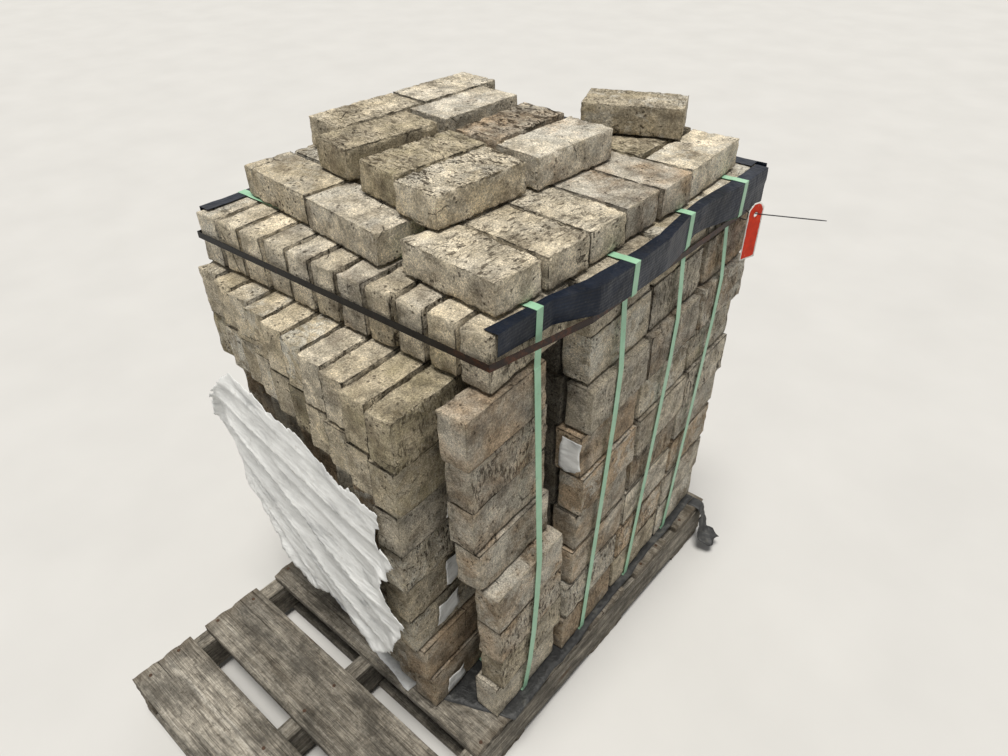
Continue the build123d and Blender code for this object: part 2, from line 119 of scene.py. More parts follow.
def lattice(cells, seed):
    mixed = cells[:, 0] * 73856093 ^ cells[:, 1] * 19349663 ^ cells[:, 2] * 83492791 ^ seed * 2654435761
    mixed = (mixed ^ (mixed >> 13)) * 1274126177 & 0x7FFFFFFF
    mixed = (mixed ^ (mixed >> 16)) & 0xFFFF
    return mixed / 32767.5 - 1.0


def lumps(points, size, seed):
    """Smooth noise from -1 to 1 whose lumps are about size across."""
    places = points / size
    low = np.floor(places).astype(np.int64)
    part = places - low
    part = part * part * (3 - 2 * part)
    total = np.zeros(len(points))
    for corner in np.ndindex(2, 2, 2):
        weight = np.prod(np.where(np.array(corner), part, 1 - part), axis=1)
        total += weight * lattice(low + np.array(corner), seed)
    return total


def rising(values, low, high):
    """0 below low, 1 above high and smooth between them."""
    share = np.clip((values - low) / (high - low), 0, 1)
    return share * share * (3 - 2 * share)


# Making pieces


def linear(red, green, blue):
    """A colour written as 0 to 255, as the shader wants it."""
    channels = []
    for value in (red, green, blue):
        share = value / 255
        channels.append(share / 12.92 if share <= 0.04045 else ((share + 0.055) / 1.055) ** 2.4)
    return (*channels, 1.0)


def make_piece(name, points, faces, finish, attributes=None, smooth=True):
    """A mesh object at the origin that rides with the object."""
    mesh = bpy.data.meshes.new(name)
    if len(set(map(len, faces))) == 1:
        faces = np.asarray(faces).tolist()
    mesh.from_pydata(np.asarray(points).tolist(), [], faces)
    for key, values in (attributes or {}).items():
        values = np.asarray(values, np.float32)
        kind, field = ("FLOAT", "value") if values.ndim == 1 else ("FLOAT_VECTOR", "vector")
        mesh.attributes.new(key, kind, "POINT").data.foreach_set(field, values.ravel())
    mesh.polygons.foreach_set("use_smooth", [smooth] * len(mesh.polygons))
    mesh.materials.append(finish)
    piece = bpy.data.objects.new(name, mesh)
    bpy.context.scene.collection.objects.link(piece)
    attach(piece, "root")
    return piece


def grid_lines(half, edge_lines, pitch):
    """Lines from -half to half, close together near the edges."""
    inner = half - edge_lines[-1]
    count = max(1, round(2 * inner / pitch))
    near = [half - line for line in edge_lines[:-1]]
    return np.array(sorted(-n for n in near) + list(np.linspace(-inner, inner, count + 1)) + sorted(near))


def block_grid(lines):
    """Points and quads of a box whose faces are cut along lines of its three axes."""
    index, points, quads = {}, [], []

    def corner(place):
        if place not in index:
            index[place] = len(points)
            points.append([lines[axis][place[axis]] for axis in range(3)])
        return index[place]

    for axis in range(3):
        first, second = (axis + 1) % 3, (axis + 2) % 3
        for side in (0, len(lines[axis]) - 1):
            for i in range(len(lines[first]) - 1):
                for j in range(len(lines[second]) - 1):
                    ring = [(i, j), (i + 1, j), (i + 1, j + 1), (i, j + 1)]
                    quad = []
                    for u, v in ring if side else ring[::-1]:
                        place = [0, 0, 0]
                        place[axis], place[first], place[second] = side, u, v
                        quad.append(corner(tuple(place)))
                    quads.append(quad)
    return np.array(points), np.array(quads)


def blocks_in(node):
    """Middle, axes and half sizes of each block in a CAD node, longest axis first."""
    mesh = bmesh.new()
    mesh.from_mesh(nodes[node].data)
    bmesh.ops.remove_doubles(mesh, verts=mesh.verts, dist=1e-5)
    blocks, seen = [], set()
    for start in mesh.verts:
        if start in seen:
            continue
        seen.add(start)
        queue, group = [start], []
        while queue:
            vert = queue.pop()
            group.append(vert.co[:])
            for edge in vert.link_edges:
                other = edge.other_vert(vert)
                if other not in seen:
                    seen.add(other)
                    queue.append(other)
        group = np.array(group)
        middle = group.mean(0)
        axes = np.linalg.svd(group - middle, full_matrices=False)[2]
        for axis in axes:
            axis *= np.sign(axis[np.argmax(np.abs(axis))])
        if np.linalg.det(axes) < 0:
            axes[2] *= -1
        half = np.abs((group - middle) @ axes.T).max(0)
        blocks.append((middle, axes, half))
    mesh.free()
    return sorted(blocks, key=lambda block: tuple(np.round(block[0], 4)))


def rounded(points, half, radius):
    """Moves a box's points inwards so that its edges are rounded, and says which way is out."""
    radius = radius[:, None]
    core = np.clip(points, radius - half, half - radius)
    out = points - core
    out /= np.maximum(np.linalg.norm(out, axis=1, keepdims=True), 1e-9)
    return core + radius * out, out


def edge_nearness(points, half, reach):
    """1 on a box's edges, falling to 0 at reach from them."""
    depth = np.sort(half - np.abs(points), axis=1)
    return 1 - rising(depth[:, 1], 0, reach)


# Finishes


class Finish:
    """A material under construction on one Principled shader."""

    def __init__(self, name, **values):
        self.material = bpy.data.materials.new(name)
        self.material.use_nodes = True
        self.tree = self.material.node_tree
        self.tree.nodes.clear()
        self.shader = self.add("ShaderNodeBsdfPrincipled", {key.replace("_", " "): v for key, v in values.items()})
        self.add("ShaderNodeOutputMaterial", {"Surface": self.shader.outputs[0]})
        self.material.diffuse_color = values.get("Base_Color", (0.5, 0.5, 0.5, 1))

    def add(self, kind, inputs=None, **settings):
        node = self.tree.nodes.new(kind)
        for key, value in settings.items():
            setattr(node, key, value)
        for key, value in (inputs or {}).items():
            if isinstance(value, bpy.types.NodeSocket):
                self.tree.links.new(value, node.inputs[key])
            else:
                node.inputs[key].default_value = value
        return node

    def object_place(self):
        return self.add("ShaderNodeTexCoord").outputs["Object"]

    def attribute(self, name, output="Vector"):
        return self.add("ShaderNodeAttribute", attribute_name=name).outputs[output]

    def parts(self, vector):
        return self.add("ShaderNodeSeparateXYZ", {0: vector}).outputs

    def stretched(self, vector, scale, turn=(0, 0, 0)):
        return self.add("ShaderNodeMapping", {"Vector": vector, "Scale": scale, "Rotation": turn}).outputs[0]

    def noise(self, vector, scale, detail=3.0, roughness=0.5, distortion=0.0):
        inputs = {"Vector": vector, "Scale": scale, "Detail": detail, "Roughness": roughness, "Distortion": distortion}
        return self.add("ShaderNodeTexNoise", inputs).outputs[0]

    def cells(self, vector, scale, feature="F1"):
        return self.add("ShaderNodeTexVoronoi", {"Vector": vector, "Scale": scale}, feature=feature).outputs["Distance"]

    def waves(self, vector, scale, distortion=0.0, direction="X"):
        inputs = {"Vector": vector, "Scale": scale, "Distortion": distortion}
        return self.add("ShaderNodeTexWave", inputs, bands_direction=direction).outputs[1]

    def calc(self, operation, first, second=0.0):
        return self.add("ShaderNodeMath", {0: first, 1: second}, operation=operation).outputs[0]

    def between(self, value, low, high, start=0.0, end=1.0):
        return self.add("ShaderNodeMapRange", {0: value, 1: low, 2: high, 3: start, 4: end}).outputs[0]

    def mixed(self, share, first, second, blend="MIX"):
        inputs = {0: share, 6: first, 7: second}
        return self.add("ShaderNodeMix", inputs, data_type="RGBA", blend_type=blend).outputs[2]

    def shaded(self, colour, value, low, high, dark, light):
        """The colour darker or lighter where value runs from low to high."""
        amount = self.between(value, low, high, dark, light)
        grey = self.add("ShaderNodeCombineColor", {0: amount, 1: amount, 2: amount}).outputs[0]
        return self.mixed(1.0, colour, grey, "MULTIPLY")

    def ramp(self, value, stops):
        node = self.add("ShaderNodeValToRGB", {0: value})
        points = node.color_ramp.elements
        while len(points) < len(stops):
            points.new(0.5)
        for point, (place, colour) in zip(points, stops):
            point.position = place
            point.color = linear(*colour)
        return node.outputs[0]

    def bump(self, height, distance, strength=1.0, normal=None):
        inputs = {"Height": height, "Distance": distance, "Strength": strength}
        if normal is not None:
            inputs["Normal"] = normal
        return self.add("ShaderNodeBump", inputs).outputs[0]

    def done(self, **values):
        for key, value in values.items():
            socket = self.shader.inputs[key.replace("_", " ")]
            self.tree.links.new(value, socket)
        return self.material


BRICK_TONES = (
    (0.00, (148, 138, 112)),
    (0.25, (178, 166, 142)),
    (0.50, (189, 179, 159)),
    (0.75, (180, 173, 159)),
    (1.00, (168, 148, 123)),
)


def brick_finish(name, with_attributes):
    """Sandy, pitted clay with torn faces, dark grime, pale bloom and lighter worn edges; painted shade in the joints
    and, in part, in the dark tears, painted highlight on the tears' rims, and without attributes all painted dark as
    shade.
    """
    f = Finish(name, Roughness=0.92, Specular_IOR_Level=0.2)
    place = f.object_place()
    if with_attributes:
        space = f.attribute("brick_space")
        tone, light, pale = f.parts(f.attribute("brick_look"))
        torn = f.attribute("brick_torn", "Fac")
        # brick_edge is above 0 on lighter worn edges and below 0 where painted shade darkens the joints between bricks.
        edge = f.attribute("brick_edge", "Fac")
    else:
        space = place
        tone, light, pale = (f.noise(place, scale, 1) for scale in (5.0, 7.0, 9.0))
        torn = edge = f.noise(place, 11.0, 1)
        # Painted shade: without attributes the brick gets none of the brightening that the other bricks get.
        light = f.calc("MULTIPLY", light, 0.1)
    clouds = f.noise(space, 13.0, 5, 0.6)
    colour = f.ramp(f.calc("ADD", tone, f.between(clouds, 0.3, 0.7, -0.2, 0.2)), BRICK_TONES)
    colour = f.shaded(colour, light, 0.0, 1.0, 0.94, 1.90)
    stains = f.noise(space, 22.0, 7, 0.72, 0.4)
    colour = f.shaded(colour, stains, 0.38, 0.60, 0.56, 1.24)
    grime = f.calc("MULTIPLY", f.between(f.noise(space, 9.0, 6, 0.7), 0.52, 0.62), 0.5)
    colour = f.mixed(grime, colour, linear(92, 78, 60))
    bloom = f.calc("MULTIPLY", f.between(f.noise(space, 19.0, 8, 0.74, 0.6), 0.49, 0.57), pale)
    colour = f.mixed(f.calc("MULTIPLY", bloom, 0.9), colour, linear(224, 220, 207))
    worn = f.calc("MULTIPLY", f.between(edge, 0.0, 1.0), f.between(f.noise(space, 60.0, 4, 0.6), 0.42, 0.58))
    colour = f.mixed(f.calc("MULTIPLY", worn, 0.6), colour, linear(218, 206, 180))
    sand = f.noise(space, 310.0, 5, 0.85)
    colour = f.shaded(colour, sand, 0.39, 0.61, 0.54, 1.38)
    grain = f.add("ShaderNodeTexVoronoi", {"Vector": space, "Scale": 560.0})
    colour = f.shaded(colour, f.parts(grain.outputs["Color"])[0], 0.0, 1.0, 0.76, 1.20)
    grit = grain.outputs["Distance"]
    rough = f.mixed(0.005, space, f.noise(space, 90.0, 2))
    pits = f.between(f.cells(rough, 105.0), 0.14, 0.30, 1.0, 0.0)
    pits = f.calc("MULTIPLY", pits, f.between(f.noise(space, 26.0, 3), 0.52, 0.60))
    colour = f.mixed(f.calc("MULTIPLY", pits, 0.75), colour, linear(66, 58, 43))
    drag = f.noise(f.stretched(space, (175.0, 60.0, 120.0)), 1.0, 3.0, 0.55, 0.8)
    patchy = f.calc("MULTIPLY", f.between(f.noise(space, 27.0, 3, 0.6), 0.40, 0.52), torn)
    # The torn strokes are dark partly as torn clay and partly as painted shade inside them.
    tears = f.calc("MULTIPLY", f.between(drag, 0.545, 0.580), patchy)
    # Painted highlight: pale rims round the torn strokes, where light would catch their raised edges.
    lit_rims = f.calc("MULTIPLY", f.between(drag, 0.440, 0.400), patchy)
    colour = f.mixed(f.calc("MULTIPLY", lit_rims, 0.6), colour, linear(226, 214, 190))
    colour = f.mixed(f.calc("MULTIPLY", tears, 0.80), colour, linear(58, 48, 35))
    web = f.cells(f.mixed(0.03, space, f.noise(space, 40.0, 4)), 9.0, "DISTANCE_TO_EDGE")
    crack = f.calc("MULTIPLY", f.between(web, 0.0, 0.010, 1.0, 0.0), f.between(f.noise(space, 16.0, 2), 0.60, 0.66))
    colour = f.mixed(f.calc("MULTIPLY", crack, 0.75), colour, linear(62, 53, 40))
    # Painted shade: dark lines along the edges where a brick meets its neighbours, broken up by noise.
    joint_shade = f.between(edge, -0.9, -0.1, 1.0, 0.0)
    joint_shade = f.calc("MULTIPLY", joint_shade, f.between(f.noise(space, 38.0, 3, 0.6), 0.38, 0.56, 0.45, 0.96))
    colour = f.mixed(joint_shade, colour, linear(40, 34, 26))
    # Painted shade: a brick without attributes is darkened to a fifth to two fifths, as bricks deep in shade.
    if not with_attributes:
        colour = f.shaded(colour, clouds, 0.3, 0.7, 0.22, 0.42)
    normal = f.bump(f.noise(space, 55.0, 5, 0.64), 0.007, 0.7)
    normal = f.bump(sand, 0.0026, 0.85, normal)
    normal = f.bump(grit, 0.0007, 0.7, normal)
    hollows = f.calc("SUBTRACT", f.calc("ADD", pits, f.calc("ADD", crack, tears)), lit_rims)
    normal = f.bump(f.calc("MULTIPLY", hollows, -1.0), 0.0042, 1.0, normal)
    return f.done(Base_Color=colour, Normal=normal)


def wood_finish():
    """Old grey pallet wood: grain, sawing marks across it, splits and dark patches."""
    f = Finish("grey_pallet_wood", Roughness=0.88, Specular_IOR_Level=0.25)
    space = f.attribute("board_space")
    tone, light, _ = f.parts(f.attribute("board_look"))
    end = f.attribute("board_end", "Fac")
    grain = f.noise(f.stretched(space, (3.4, 70.0, 70.0)), 1.0, 7, 0.68, 0.7)
    colour = f.ramp(grain, ((0.30, (98, 92, 82)), (0.44, (138, 132, 121)), (0.57, (166, 160, 148)), (0.72, (196, 191, 180))))
    warm = f.mixed(f.between(tone, 0.0, 1.0, 0.0, 0.35), colour, linear(148, 134, 110))
    colour = f.shaded(warm, light, 0.0, 1.0, 0.60, 1.20)
    fibres = f.noise(f.stretched(space, (24.0, 480.0, 480.0)), 1.0, 5, 0.75, 0.6)
    colour = f.shaded(colour, fibres, 0.37, 0.63, 0.46, 1.42)
    patches = f.noise(f.stretched(space, (9.0, 15.0, 15.0)), 1.0, 7, 0.75, 0.3)
    colour = f.shaded(colour, patches, 0.41, 0.60, 0.46, 1.20)
    saw = f.noise(f.stretched(space, (160.0, 30.0, 30.0), (0, 0, 0.5)), 1.0, 5, 0.7, 0.4)
    colour = f.shaded(colour, saw, 0.36, 0.64, 0.82, 1.12)
    specks = f.between(f.noise(space, 75.0, 6, 0.78), 0.55, 0.62)
    colour = f.mixed(f.calc("MULTIPLY", specks, 0.6), colour, linear(70, 64, 55))
    split = f.between(f.noise(f.stretched(space, (1.6, 120.0, 120.0)), 1.0, 3, 0.5, 0.3), 0.655, 0.69)
    split = f.calc("MULTIPLY", split, f.calc("ADD", f.calc("MULTIPLY", end, 0.6), 0.5))
    colour = f.mixed(f.calc("MULTIPLY", split, 0.85), colour, linear(46, 38, 30))
    knot = f.cells(f.stretched(space, (3.2, 11.0, 11.0)), 1.0)
    colour = f.mixed(f.between(knot, 0.05, 0.11, 0.75, 0.0), colour, linear(82, 60, 40))
    colour = f.mixed(f.calc("MULTIPLY", end, 0.4), colour, linear(92, 80, 64))
    normal = f.bump(grain, 0.006, 0.7)
    normal = f.bump(fibres, 0.0018, 0.8, normal)
    normal = f.bump(saw, 0.0008, 0.6, normal)
    normal = f.bump(f.calc("MULTIPLY", split, -1.0), 0.003, 0.9, normal)
    return f.done(Base_Color=colour, Normal=normal)


def strap_finish():
    """Pale green polyester strapping with a fine waffle and dust."""
    f = Finish("pale_green_strap", Roughness=0.42, Specular_IOR_Level=0.45)
    place = f.object_place()
    dust = f.noise(place, 24.0, 6, 0.65)
    colour = f.ramp(dust, ((0.34, (148, 196, 162)), (0.55, (162, 208, 175)), (0.78, (184, 216, 190))))
    waffle = f.calc("MULTIPLY", f.waves(place, 150.0, direction="Z"), f.waves(place, 150.0, direction="Y"))
    colour = f.shaded(colour, waffle, 0.0, 1.0, 0.92, 1.04)
    grime = f.between(f.noise(place, 70.0, 4, 0.7), 0.60, 0.75)
    colour = f.mixed(f.calc("MULTIPLY", grime, 0.5), colour, linear(124, 126, 98))
    return f.done(Base_Color=colour, Normal=f.bump(waffle, 0.0003, 0.5))


def band_finish():
    """Steel banding: black paint at the front and left, rusted through on the strapped side."""
    f = Finish("rusty_steel_band", Roughness=0.5, Specular_IOR_Level=0.25)
    place = f.object_place()
    rust = f.ramp(
        f.noise(place, 60.0, 7, 0.7), ((0.30, (18, 12, 10)), (0.50, (42, 26, 18)), (0.64, (86, 48, 26)), (0.8, (36, 24, 18)))
    )
    paint = f.ramp(f.noise(place, 45.0, 5, 0.65), ((0.35, (12, 12, 13)), (0.62, (28, 27, 26)), (0.8, (62, 50, 38))))
    across = f.parts(place)
    side = f.between(across[0], 0.20, 0.31)
    side = f.calc("ADD", side, f.calc("MULTIPLY", f.between(f.noise(place, 30.0, 4, 0.7), 0.62, 0.7), 0.5))
    colour = f.mixed(f.calc("MINIMUM", side, 1.0), paint, rust)
    normal = f.bump(f.noise(place, 220.0, 5, 0.7), 0.0006, 0.8)
    return f.done(Base_Color=colour, Normal=normal)


def protector_finish():
    """Dark blue plastic edge guard: fine ribs along it, scuffs, dust on top."""
    f = Finish("dark_blue_edge_guard", Roughness=0.42, Specular_IOR_Level=0.22)
    place = f.object_place()
    ribs = f.waves(place, 54.0, direction="Z")
    colour = f.ramp(f.noise(place, 17.0, 6, 0.65), ((0.34, (13, 20, 31)), (0.56, (21, 30, 45)), (0.78, (38, 46, 60))))
    colour = f.shaded(colour, ribs, 0.0, 1.0, 0.84, 1.1)
    scuff = f.between(f.noise(f.stretched(place, (240.0, 30.0, 240.0), (0.3, 0, 0)), 1.0, 4, 0.6), 0.66, 0.72)
    colour = f.mixed(f.calc("MULTIPLY", scuff, 0.5), colour, linear(112, 116, 124))
    dust = f.between(f.noise(place, 55.0, 6, 0.7), 0.54, 0.74)
    colour = f.mixed(f.calc("MULTIPLY", dust, 0.12), colour, linear(104, 101, 94))
    normal = f.bump(f.noise(place, 15.0, 4, 0.55), 0.014, 0.7)
    normal = f.bump(ribs, 0.0006, 0.4, normal)
    return f.done(Base_Color=colour, Normal=normal)


def film_finish():
    """Milky torn wrapping film: grey streaks painted as shade of its creases, mud specks."""
    f = Finish("milky_film", Roughness=0.34, Specular_IOR_Level=0.5)
    place = f.object_place()
    # Painted shade: grey streaks across the white film stand in for the shade of its folds.
    fold_shade = f.noise(f.stretched(place, (9.0, 9.0, 26.0)), 1.0, 6, 0.65, 0.6)
    colour = f.ramp(fold_shade, ((0.30, (172, 174, 174)), (0.43, (224, 225, 223)), (0.62, (246, 247, 245))))
    mud = f.between(f.noise(place, 34.0, 7, 0.72), 0.60, 0.74)
    colour = f.mixed(f.calc("MULTIPLY", mud, 0.55), colour, linear(150, 142, 126))
    specks = f.between(f.noise(place, 210.0, 3, 0.6), 0.70, 0.76)
    colour = f.mixed(f.calc("MULTIPLY", specks, 0.7), colour, linear(92, 84, 72))
    folds = f.noise(f.stretched(place, (9.0, 9.0, 42.0), (0, 0.12, 0)), 1.0, 3, 0.5, 0.4)
    normal = f.bump(folds, 0.009, 0.6)
    normal = f.bump(f.noise(place, 120.0, 4, 0.6), 0.0016, 0.6, normal)
    return f.done(Base_Color=colour, Normal=normal)


def slip_sheet_finish():
    """Black plastic sheet, dusty and scuffed grey where it's crumpled."""
    f = Finish("black_slip_sheet", Roughness=0.5)
    place = f.object_place()
    dust = f.noise(place, 30.0, 7, 0.7, 0.5)
    colour = f.ramp(dust, ((0.36, (26, 27, 28)), (0.56, (46, 47, 47)), (0.72, (92, 91, 86)), (0.85, (122, 118, 108))))
    normal = f.bump(f.noise(place, 60.0, 5, 0.65, 0.6), 0.004, 0.7)
    return f.done(Base_Color=colour, Normal=normal)


def tag_finish():
    """Coated card: orange-red with a white border, scuffed and a little dirty."""
    f = Finish("orange_tag_card", Roughness=0.5, Specular_IOR_Level=0.2)
    margin = f.attribute("tag_margin", "Fac")
    place = f.object_place()
    ragged = f.calc("ADD", margin, f.between(f.noise(place, 300.0, 3), 0.3, 0.7, -0.0004, 0.0004))
    orange = f.ramp(f.noise(place, 60.0, 5, 0.6), ((0.32, (192, 42, 6)), (0.6, (220, 52, 8)), (0.8, (228, 78, 32))))
    colour = f.mixed(f.between(ragged, 0.0030, 0.0034), linear(226, 224, 218), orange)
    scratches = f.between(f.noise(f.stretched(place, (300.0, 300.0, 40.0), (0.5, 0, 0)), 1.0, 3, 0.6), 0.68, 0.73)
    colour = f.mixed(f.calc("MULTIPLY", scratches, 0.5), colour, linear(214, 190, 176))
    dirt = f.between(f.noise(place, 120.0, 5, 0.7), 0.62, 0.74)
    colour = f.mixed(f.calc("MULTIPLY", dirt, 0.35), colour, linear(90, 70, 58))
    return f.done(Base_Color=colour, Normal=f.bump(f.noise(place, 30.0, 3), 0.002, 0.4))


def tie_finish():
    """Black nylon with a dusty sheen."""
    f = Finish("black_cable_tie", Roughness=0.4)
    place = f.object_place()
    dust = f.noise(place, 120.0, 5, 0.7)
    colour = f.ramp(dust, ((0.4, (22, 22, 26)), (0.6, (36, 36, 42)), (0.8, (70, 68, 68))))
    return f.done(Base_Color=colour, Normal=f.bump(dust, 0.0004, 0.5))


def nail_finish():
    """Rusty nail heads."""
    f = Finish("rusty_nail", Roughness=0.7, Metallic=0.4)
    place = f.object_place()
    colour = f.ramp(f.noise(place, 320.0, 5, 0.7), ((0.35, (44, 34, 28)), (0.55, (78, 56, 40)), (0.75, (110, 86, 62))))
    return f.done(Base_Color=colour, Normal=f.bump(f.noise(place, 600.0, 4), 0.0005, 0.8))


# Bricks


def touching(points, middle, bricks):
    """Which of a brick's points are close to another brick."""
    close = np.zeros(len(points), bool)
    for other, axes, half in bricks:
        if 0.001 < np.linalg.norm(other - middle) < 0.24:
            close |= (np.abs((points - other) @ axes.T) < half + 0.0075).all(1)
    return close


def worn_bricks(node, edge_lines, pitch, wear, look_of, seed):
    """Replaces a node of plain bricks by worn ones: rounded, chipped, uneven and torn."""
    half = BRICK / 2
    grid, quads = block_grid([grid_lines(h, edge_lines, pitch) for h in half])
    size = len(grid)
    dice = np.random.default_rng(seed)
    joint_gap = 0.0008 if wear >= STACK_WEAR else 0.0
    everything = {"points": [], "space": [], "look": [], "torn": [], "edge": []}
    faces = []
    for number, (middle, axes, found_half) in enumerate(blocks_in(node)):
        tone, light, torn, pale = look_of(middle, dice)
        space = grid + dice.uniform(1, 60, 3)
        chips = np.clip(lumps(space, 0.024, seed) - 0.32, 0, 1) * dice.uniform(0.002, 0.014)
        corners = rising(np.abs(grid) / half @ np.ones(3), 2.6, 3.0) * np.clip(0.1 + lumps(space, 0.05, seed + 1), 0, 1)
        radius = wear + 0.4 * wear * lumps(space, 0.035, seed + 2) + chips + 0.008 * corners * dice.uniform(0.1, 1.0)
        radius = np.clip(radius, 0.0012, 0.024)
        found_half = found_half - joint_gap
        points, out = rounded(grid * (found_half / half), found_half, radius)
        big_face = rising(np.abs(grid[:, 2]) / half[2], 0.7, 0.98)
        torn_here = torn * big_face
        stripes = grid * (1.0, 0.42, 1.0) + space - grid
        grooves = np.clip(lumps(stripes, 0.0095, seed + 3) - 0.02, 0, 1) * torn_here
        uneven = 0.0011 * (1 + lumps(space, 0.06, seed + 4)) + 0.0007 * (1 + lumps(space, 0.014, seed + 5))
        edge = edge_nearness(grid, half, 0.009)
        crumbs = np.clip(lumps(space, 0.008, seed + 6), 0, 1) * edge * 0.0048
        depth = uneven + grooves * 0.0042 + crumbs
        points = points - out * depth[:, None]
        points = middle + points @ axes
        # Where a point meets another brick the edge value turns negative, for painted shade in the joint; elsewhere it
        # marks lighter worn and chipped edges.
        meets = touching(points, middle, all_bricks)
        wear_and_joint_shade = np.where(meets, -edge_nearness(grid, half, 0.0056), edge + chips * 30)
        everything["points"].append(points)
        everything["space"].append(space)
        everything["look"].append(np.tile((tone, light, pale), (size, 1)))
        everything["torn"].append(torn_here + 0.12)
        everything["edge"].append(np.clip(wear_and_joint_shade, -1, 1))
        faces.append(quads + number * size)
    joined = {key: np.concatenate(values) for key, values in everything.items()}
    attributes = {f"brick_{key}": joined[key] for key in ("space", "look", "torn", "edge")}
    piece = make_piece("worn_" + node, joined["points"], np.concatenate(faces), brick, attributes)
    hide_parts(node)
    return piece


def tier_look(tier):
    """How the bricks of one tier look: greyer on top, pinker and smoother low on the strapped side."""

    def look(middle, dice):
        x, y = from_stack(middle)
        brown = tier < 6 or (x > -0.06 and tier < 8)
        tone = dice.normal(0.30, 0.14)
        if brown:
            tone = dice.normal(0.94, 0.08) if dice.uniform() < 0.55 else dice.normal(0.55, 0.12)
        elif tier == 8:
            tone = dice.normal(0.50, 0.12)
        light = dice.normal(0.28 if brown else 0.42 if tier < 8 else 0.50, 0.17 if brown else 0.24)
        torn = dice.uniform(0.5, 1.0) if dice.uniform() < 0.4 else dice.uniform(0.0, 0.3)
        pale = dice.uniform(0.1, 0.9) if dice.uniform() < 0.5 else 0.05
        return [float(np.clip(value, 0, 1)) for value in (tone, light, torn, pale)]

    return look


def loose_look(upper):
    """How a loose brick looks, from the table, or by chance for the ones behind."""

    def look(middle, dice):
        place = from_stack(middle) / MM
        chance = dice.uniform(0.2, 0.8, 4)
        for x, y, layer, tone, light, torn, pale in LOOSE_LOOKS:
            if layer == upper and math.hypot(place[0] - x, place[1] - y) < 30:
                return tone, light, torn, pale
        return chance

    return look


# Pallet


def worn_board(node, number, finish):
    """Replaces a board or stringer by a worn one: ragged ends, rounded and chipped edges, fine ridges."""
    (middle, axes, half), = blocks_in(node)
    order = np.argsort(-half)
    axes, half = axes[order], half[order]
    if np.linalg.det(axes) < 0:
        axes[2] *= -1
    lines = [grid_lines(half[0], (0.0, 0.002, 0.006, 0.014), 0.018)]
    lines += [grid_lines(h, (0.0, 0.0015, 0.005), 0.0105) for h in half[1:]]
    grid, quads = block_grid(lines)
    dice = np.random.default_rng(400 + number)
    space = grid + dice.uniform(1, 60, 3)
    radius = np.clip(0.0022 + 0.0012 * lumps(space, 0.05, 41), 0.0008, 0.006)
    chip = np.clip(lumps(space * (0.35, 1, 1), 0.022, 42) - 0.42, 0, 1) * 0.012
    points, out = rounded(grid, half, np.clip(radius + chip, 0.0008, half.min() * 0.8))
    end = rising(np.abs(grid[:, 0]), half[0] - 0.03, half[0])
    splinters = np.clip(0.5 + lumps(space * (0.05, 1, 1), 0.009, 43), 0, 1.5)
    points[:, 0] -= np.sign(grid[:, 0]) * rising(np.abs(grid[:, 0]), half[0] - 0.02, half[0]) * splinters * 0.0035
    ridges = 0.0005 * (1 + lumps(space * (0.06, 1, 1), 0.007, 44))
    points -= out * ridges[:, None]
    light = {"deck_board_1": 0.66, "deck_board_2": 0.18, "deck_board_3": 0.42}.get(node, dice.uniform(0.25, 0.6))
    look = np.tile((dice.uniform(0.0, 0.4), light, 0.0), (len(grid), 1))
    attributes = {"board_space": space, "board_look": look, "board_end": end}
    piece = make_piece("worn_" + node, middle + points @ axes, quads, finish, attributes)
    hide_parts(node)
    return piece


def nail_tree(finish):
    """Geometry Nodes tree that sets a slightly bent, turned nail head on every point."""
    tree = bpy.data.node_groups.new("nail_heads", "GeometryNodeTree")
    sockets = {}
    for name, kind, value in (
        ("Points", "NodeSocketGeometry", None),
        ("Head Radius", "NodeSocketFloat", 0.0042),
        ("Head Height", "NodeSocketFloat", 0.0016),
        ("Tilt", "NodeSocketFloat", 0.12),
        ("Seed", "NodeSocketInt", 5),
    ):
        socket = tree.interface.new_socket(name, in_out="INPUT", socket_type=kind)
        if value is not None:
            socket.default_value = value
        sockets[name] = socket
    tree.interface.new_socket("Nails", in_out="OUTPUT", socket_type="NodeSocketGeometry")
    add, link = tree.nodes.new, tree.links.new
    given, result = add("NodeGroupInput"), add("NodeGroupOutput")
    shape = add("GeometryNodeMeshCylinder")
    shape.fill_type = "TRIANGLE_FAN"
    shape.inputs["Vertices"].default_value = 9
    shape.inputs["Fill Segments"].default_value = 2
    link(given.outputs["Head Radius"], shape.inputs["Radius"])
    link(given.outputs["Head Height"], shape.inputs["Depth"])
    turn = add("FunctionNodeRandomValue")
    turn.data_type = "FLOAT_VECTOR"
    link(given.outputs["Seed"], turn.inputs["Seed"])
    low, high = add("ShaderNodeCombineXYZ"), add("ShaderNodeCombineXYZ")
    less = add("ShaderNodeMath")
    less.operation = "MULTIPLY"
    less.inputs[1].default_value = -1.0
    link(given.outputs["Tilt"], less.inputs[0])
    for axis in (0, 1):
        link(less.outputs[0], low.inputs[axis])
        link(given.outputs["Tilt"], high.inputs[axis])
    high.inputs[2].default_value = math.tau
    link(low.outputs[0], turn.inputs[0])
    link(high.outputs[0], turn.inputs[1])
    place = add("GeometryNodeInstanceOnPoints")
    link(given.outputs["Points"], place.inputs["Points"])
    link(shape.outputs["Mesh"], place.inputs["Instance"])
    link(turn.outputs[0], place.inputs["Rotation"])
    real = add("GeometryNodeRealizeInstances")
    link(place.outputs[0], real.inputs[0])
    dress = add("GeometryNodeSetMaterial")
    dress.inputs["Material"].default_value = finish
    link(real.outputs[0], dress.inputs["Geometry"])
    link(dress.outputs[0], result.inputs[0])
    return tree, sockets


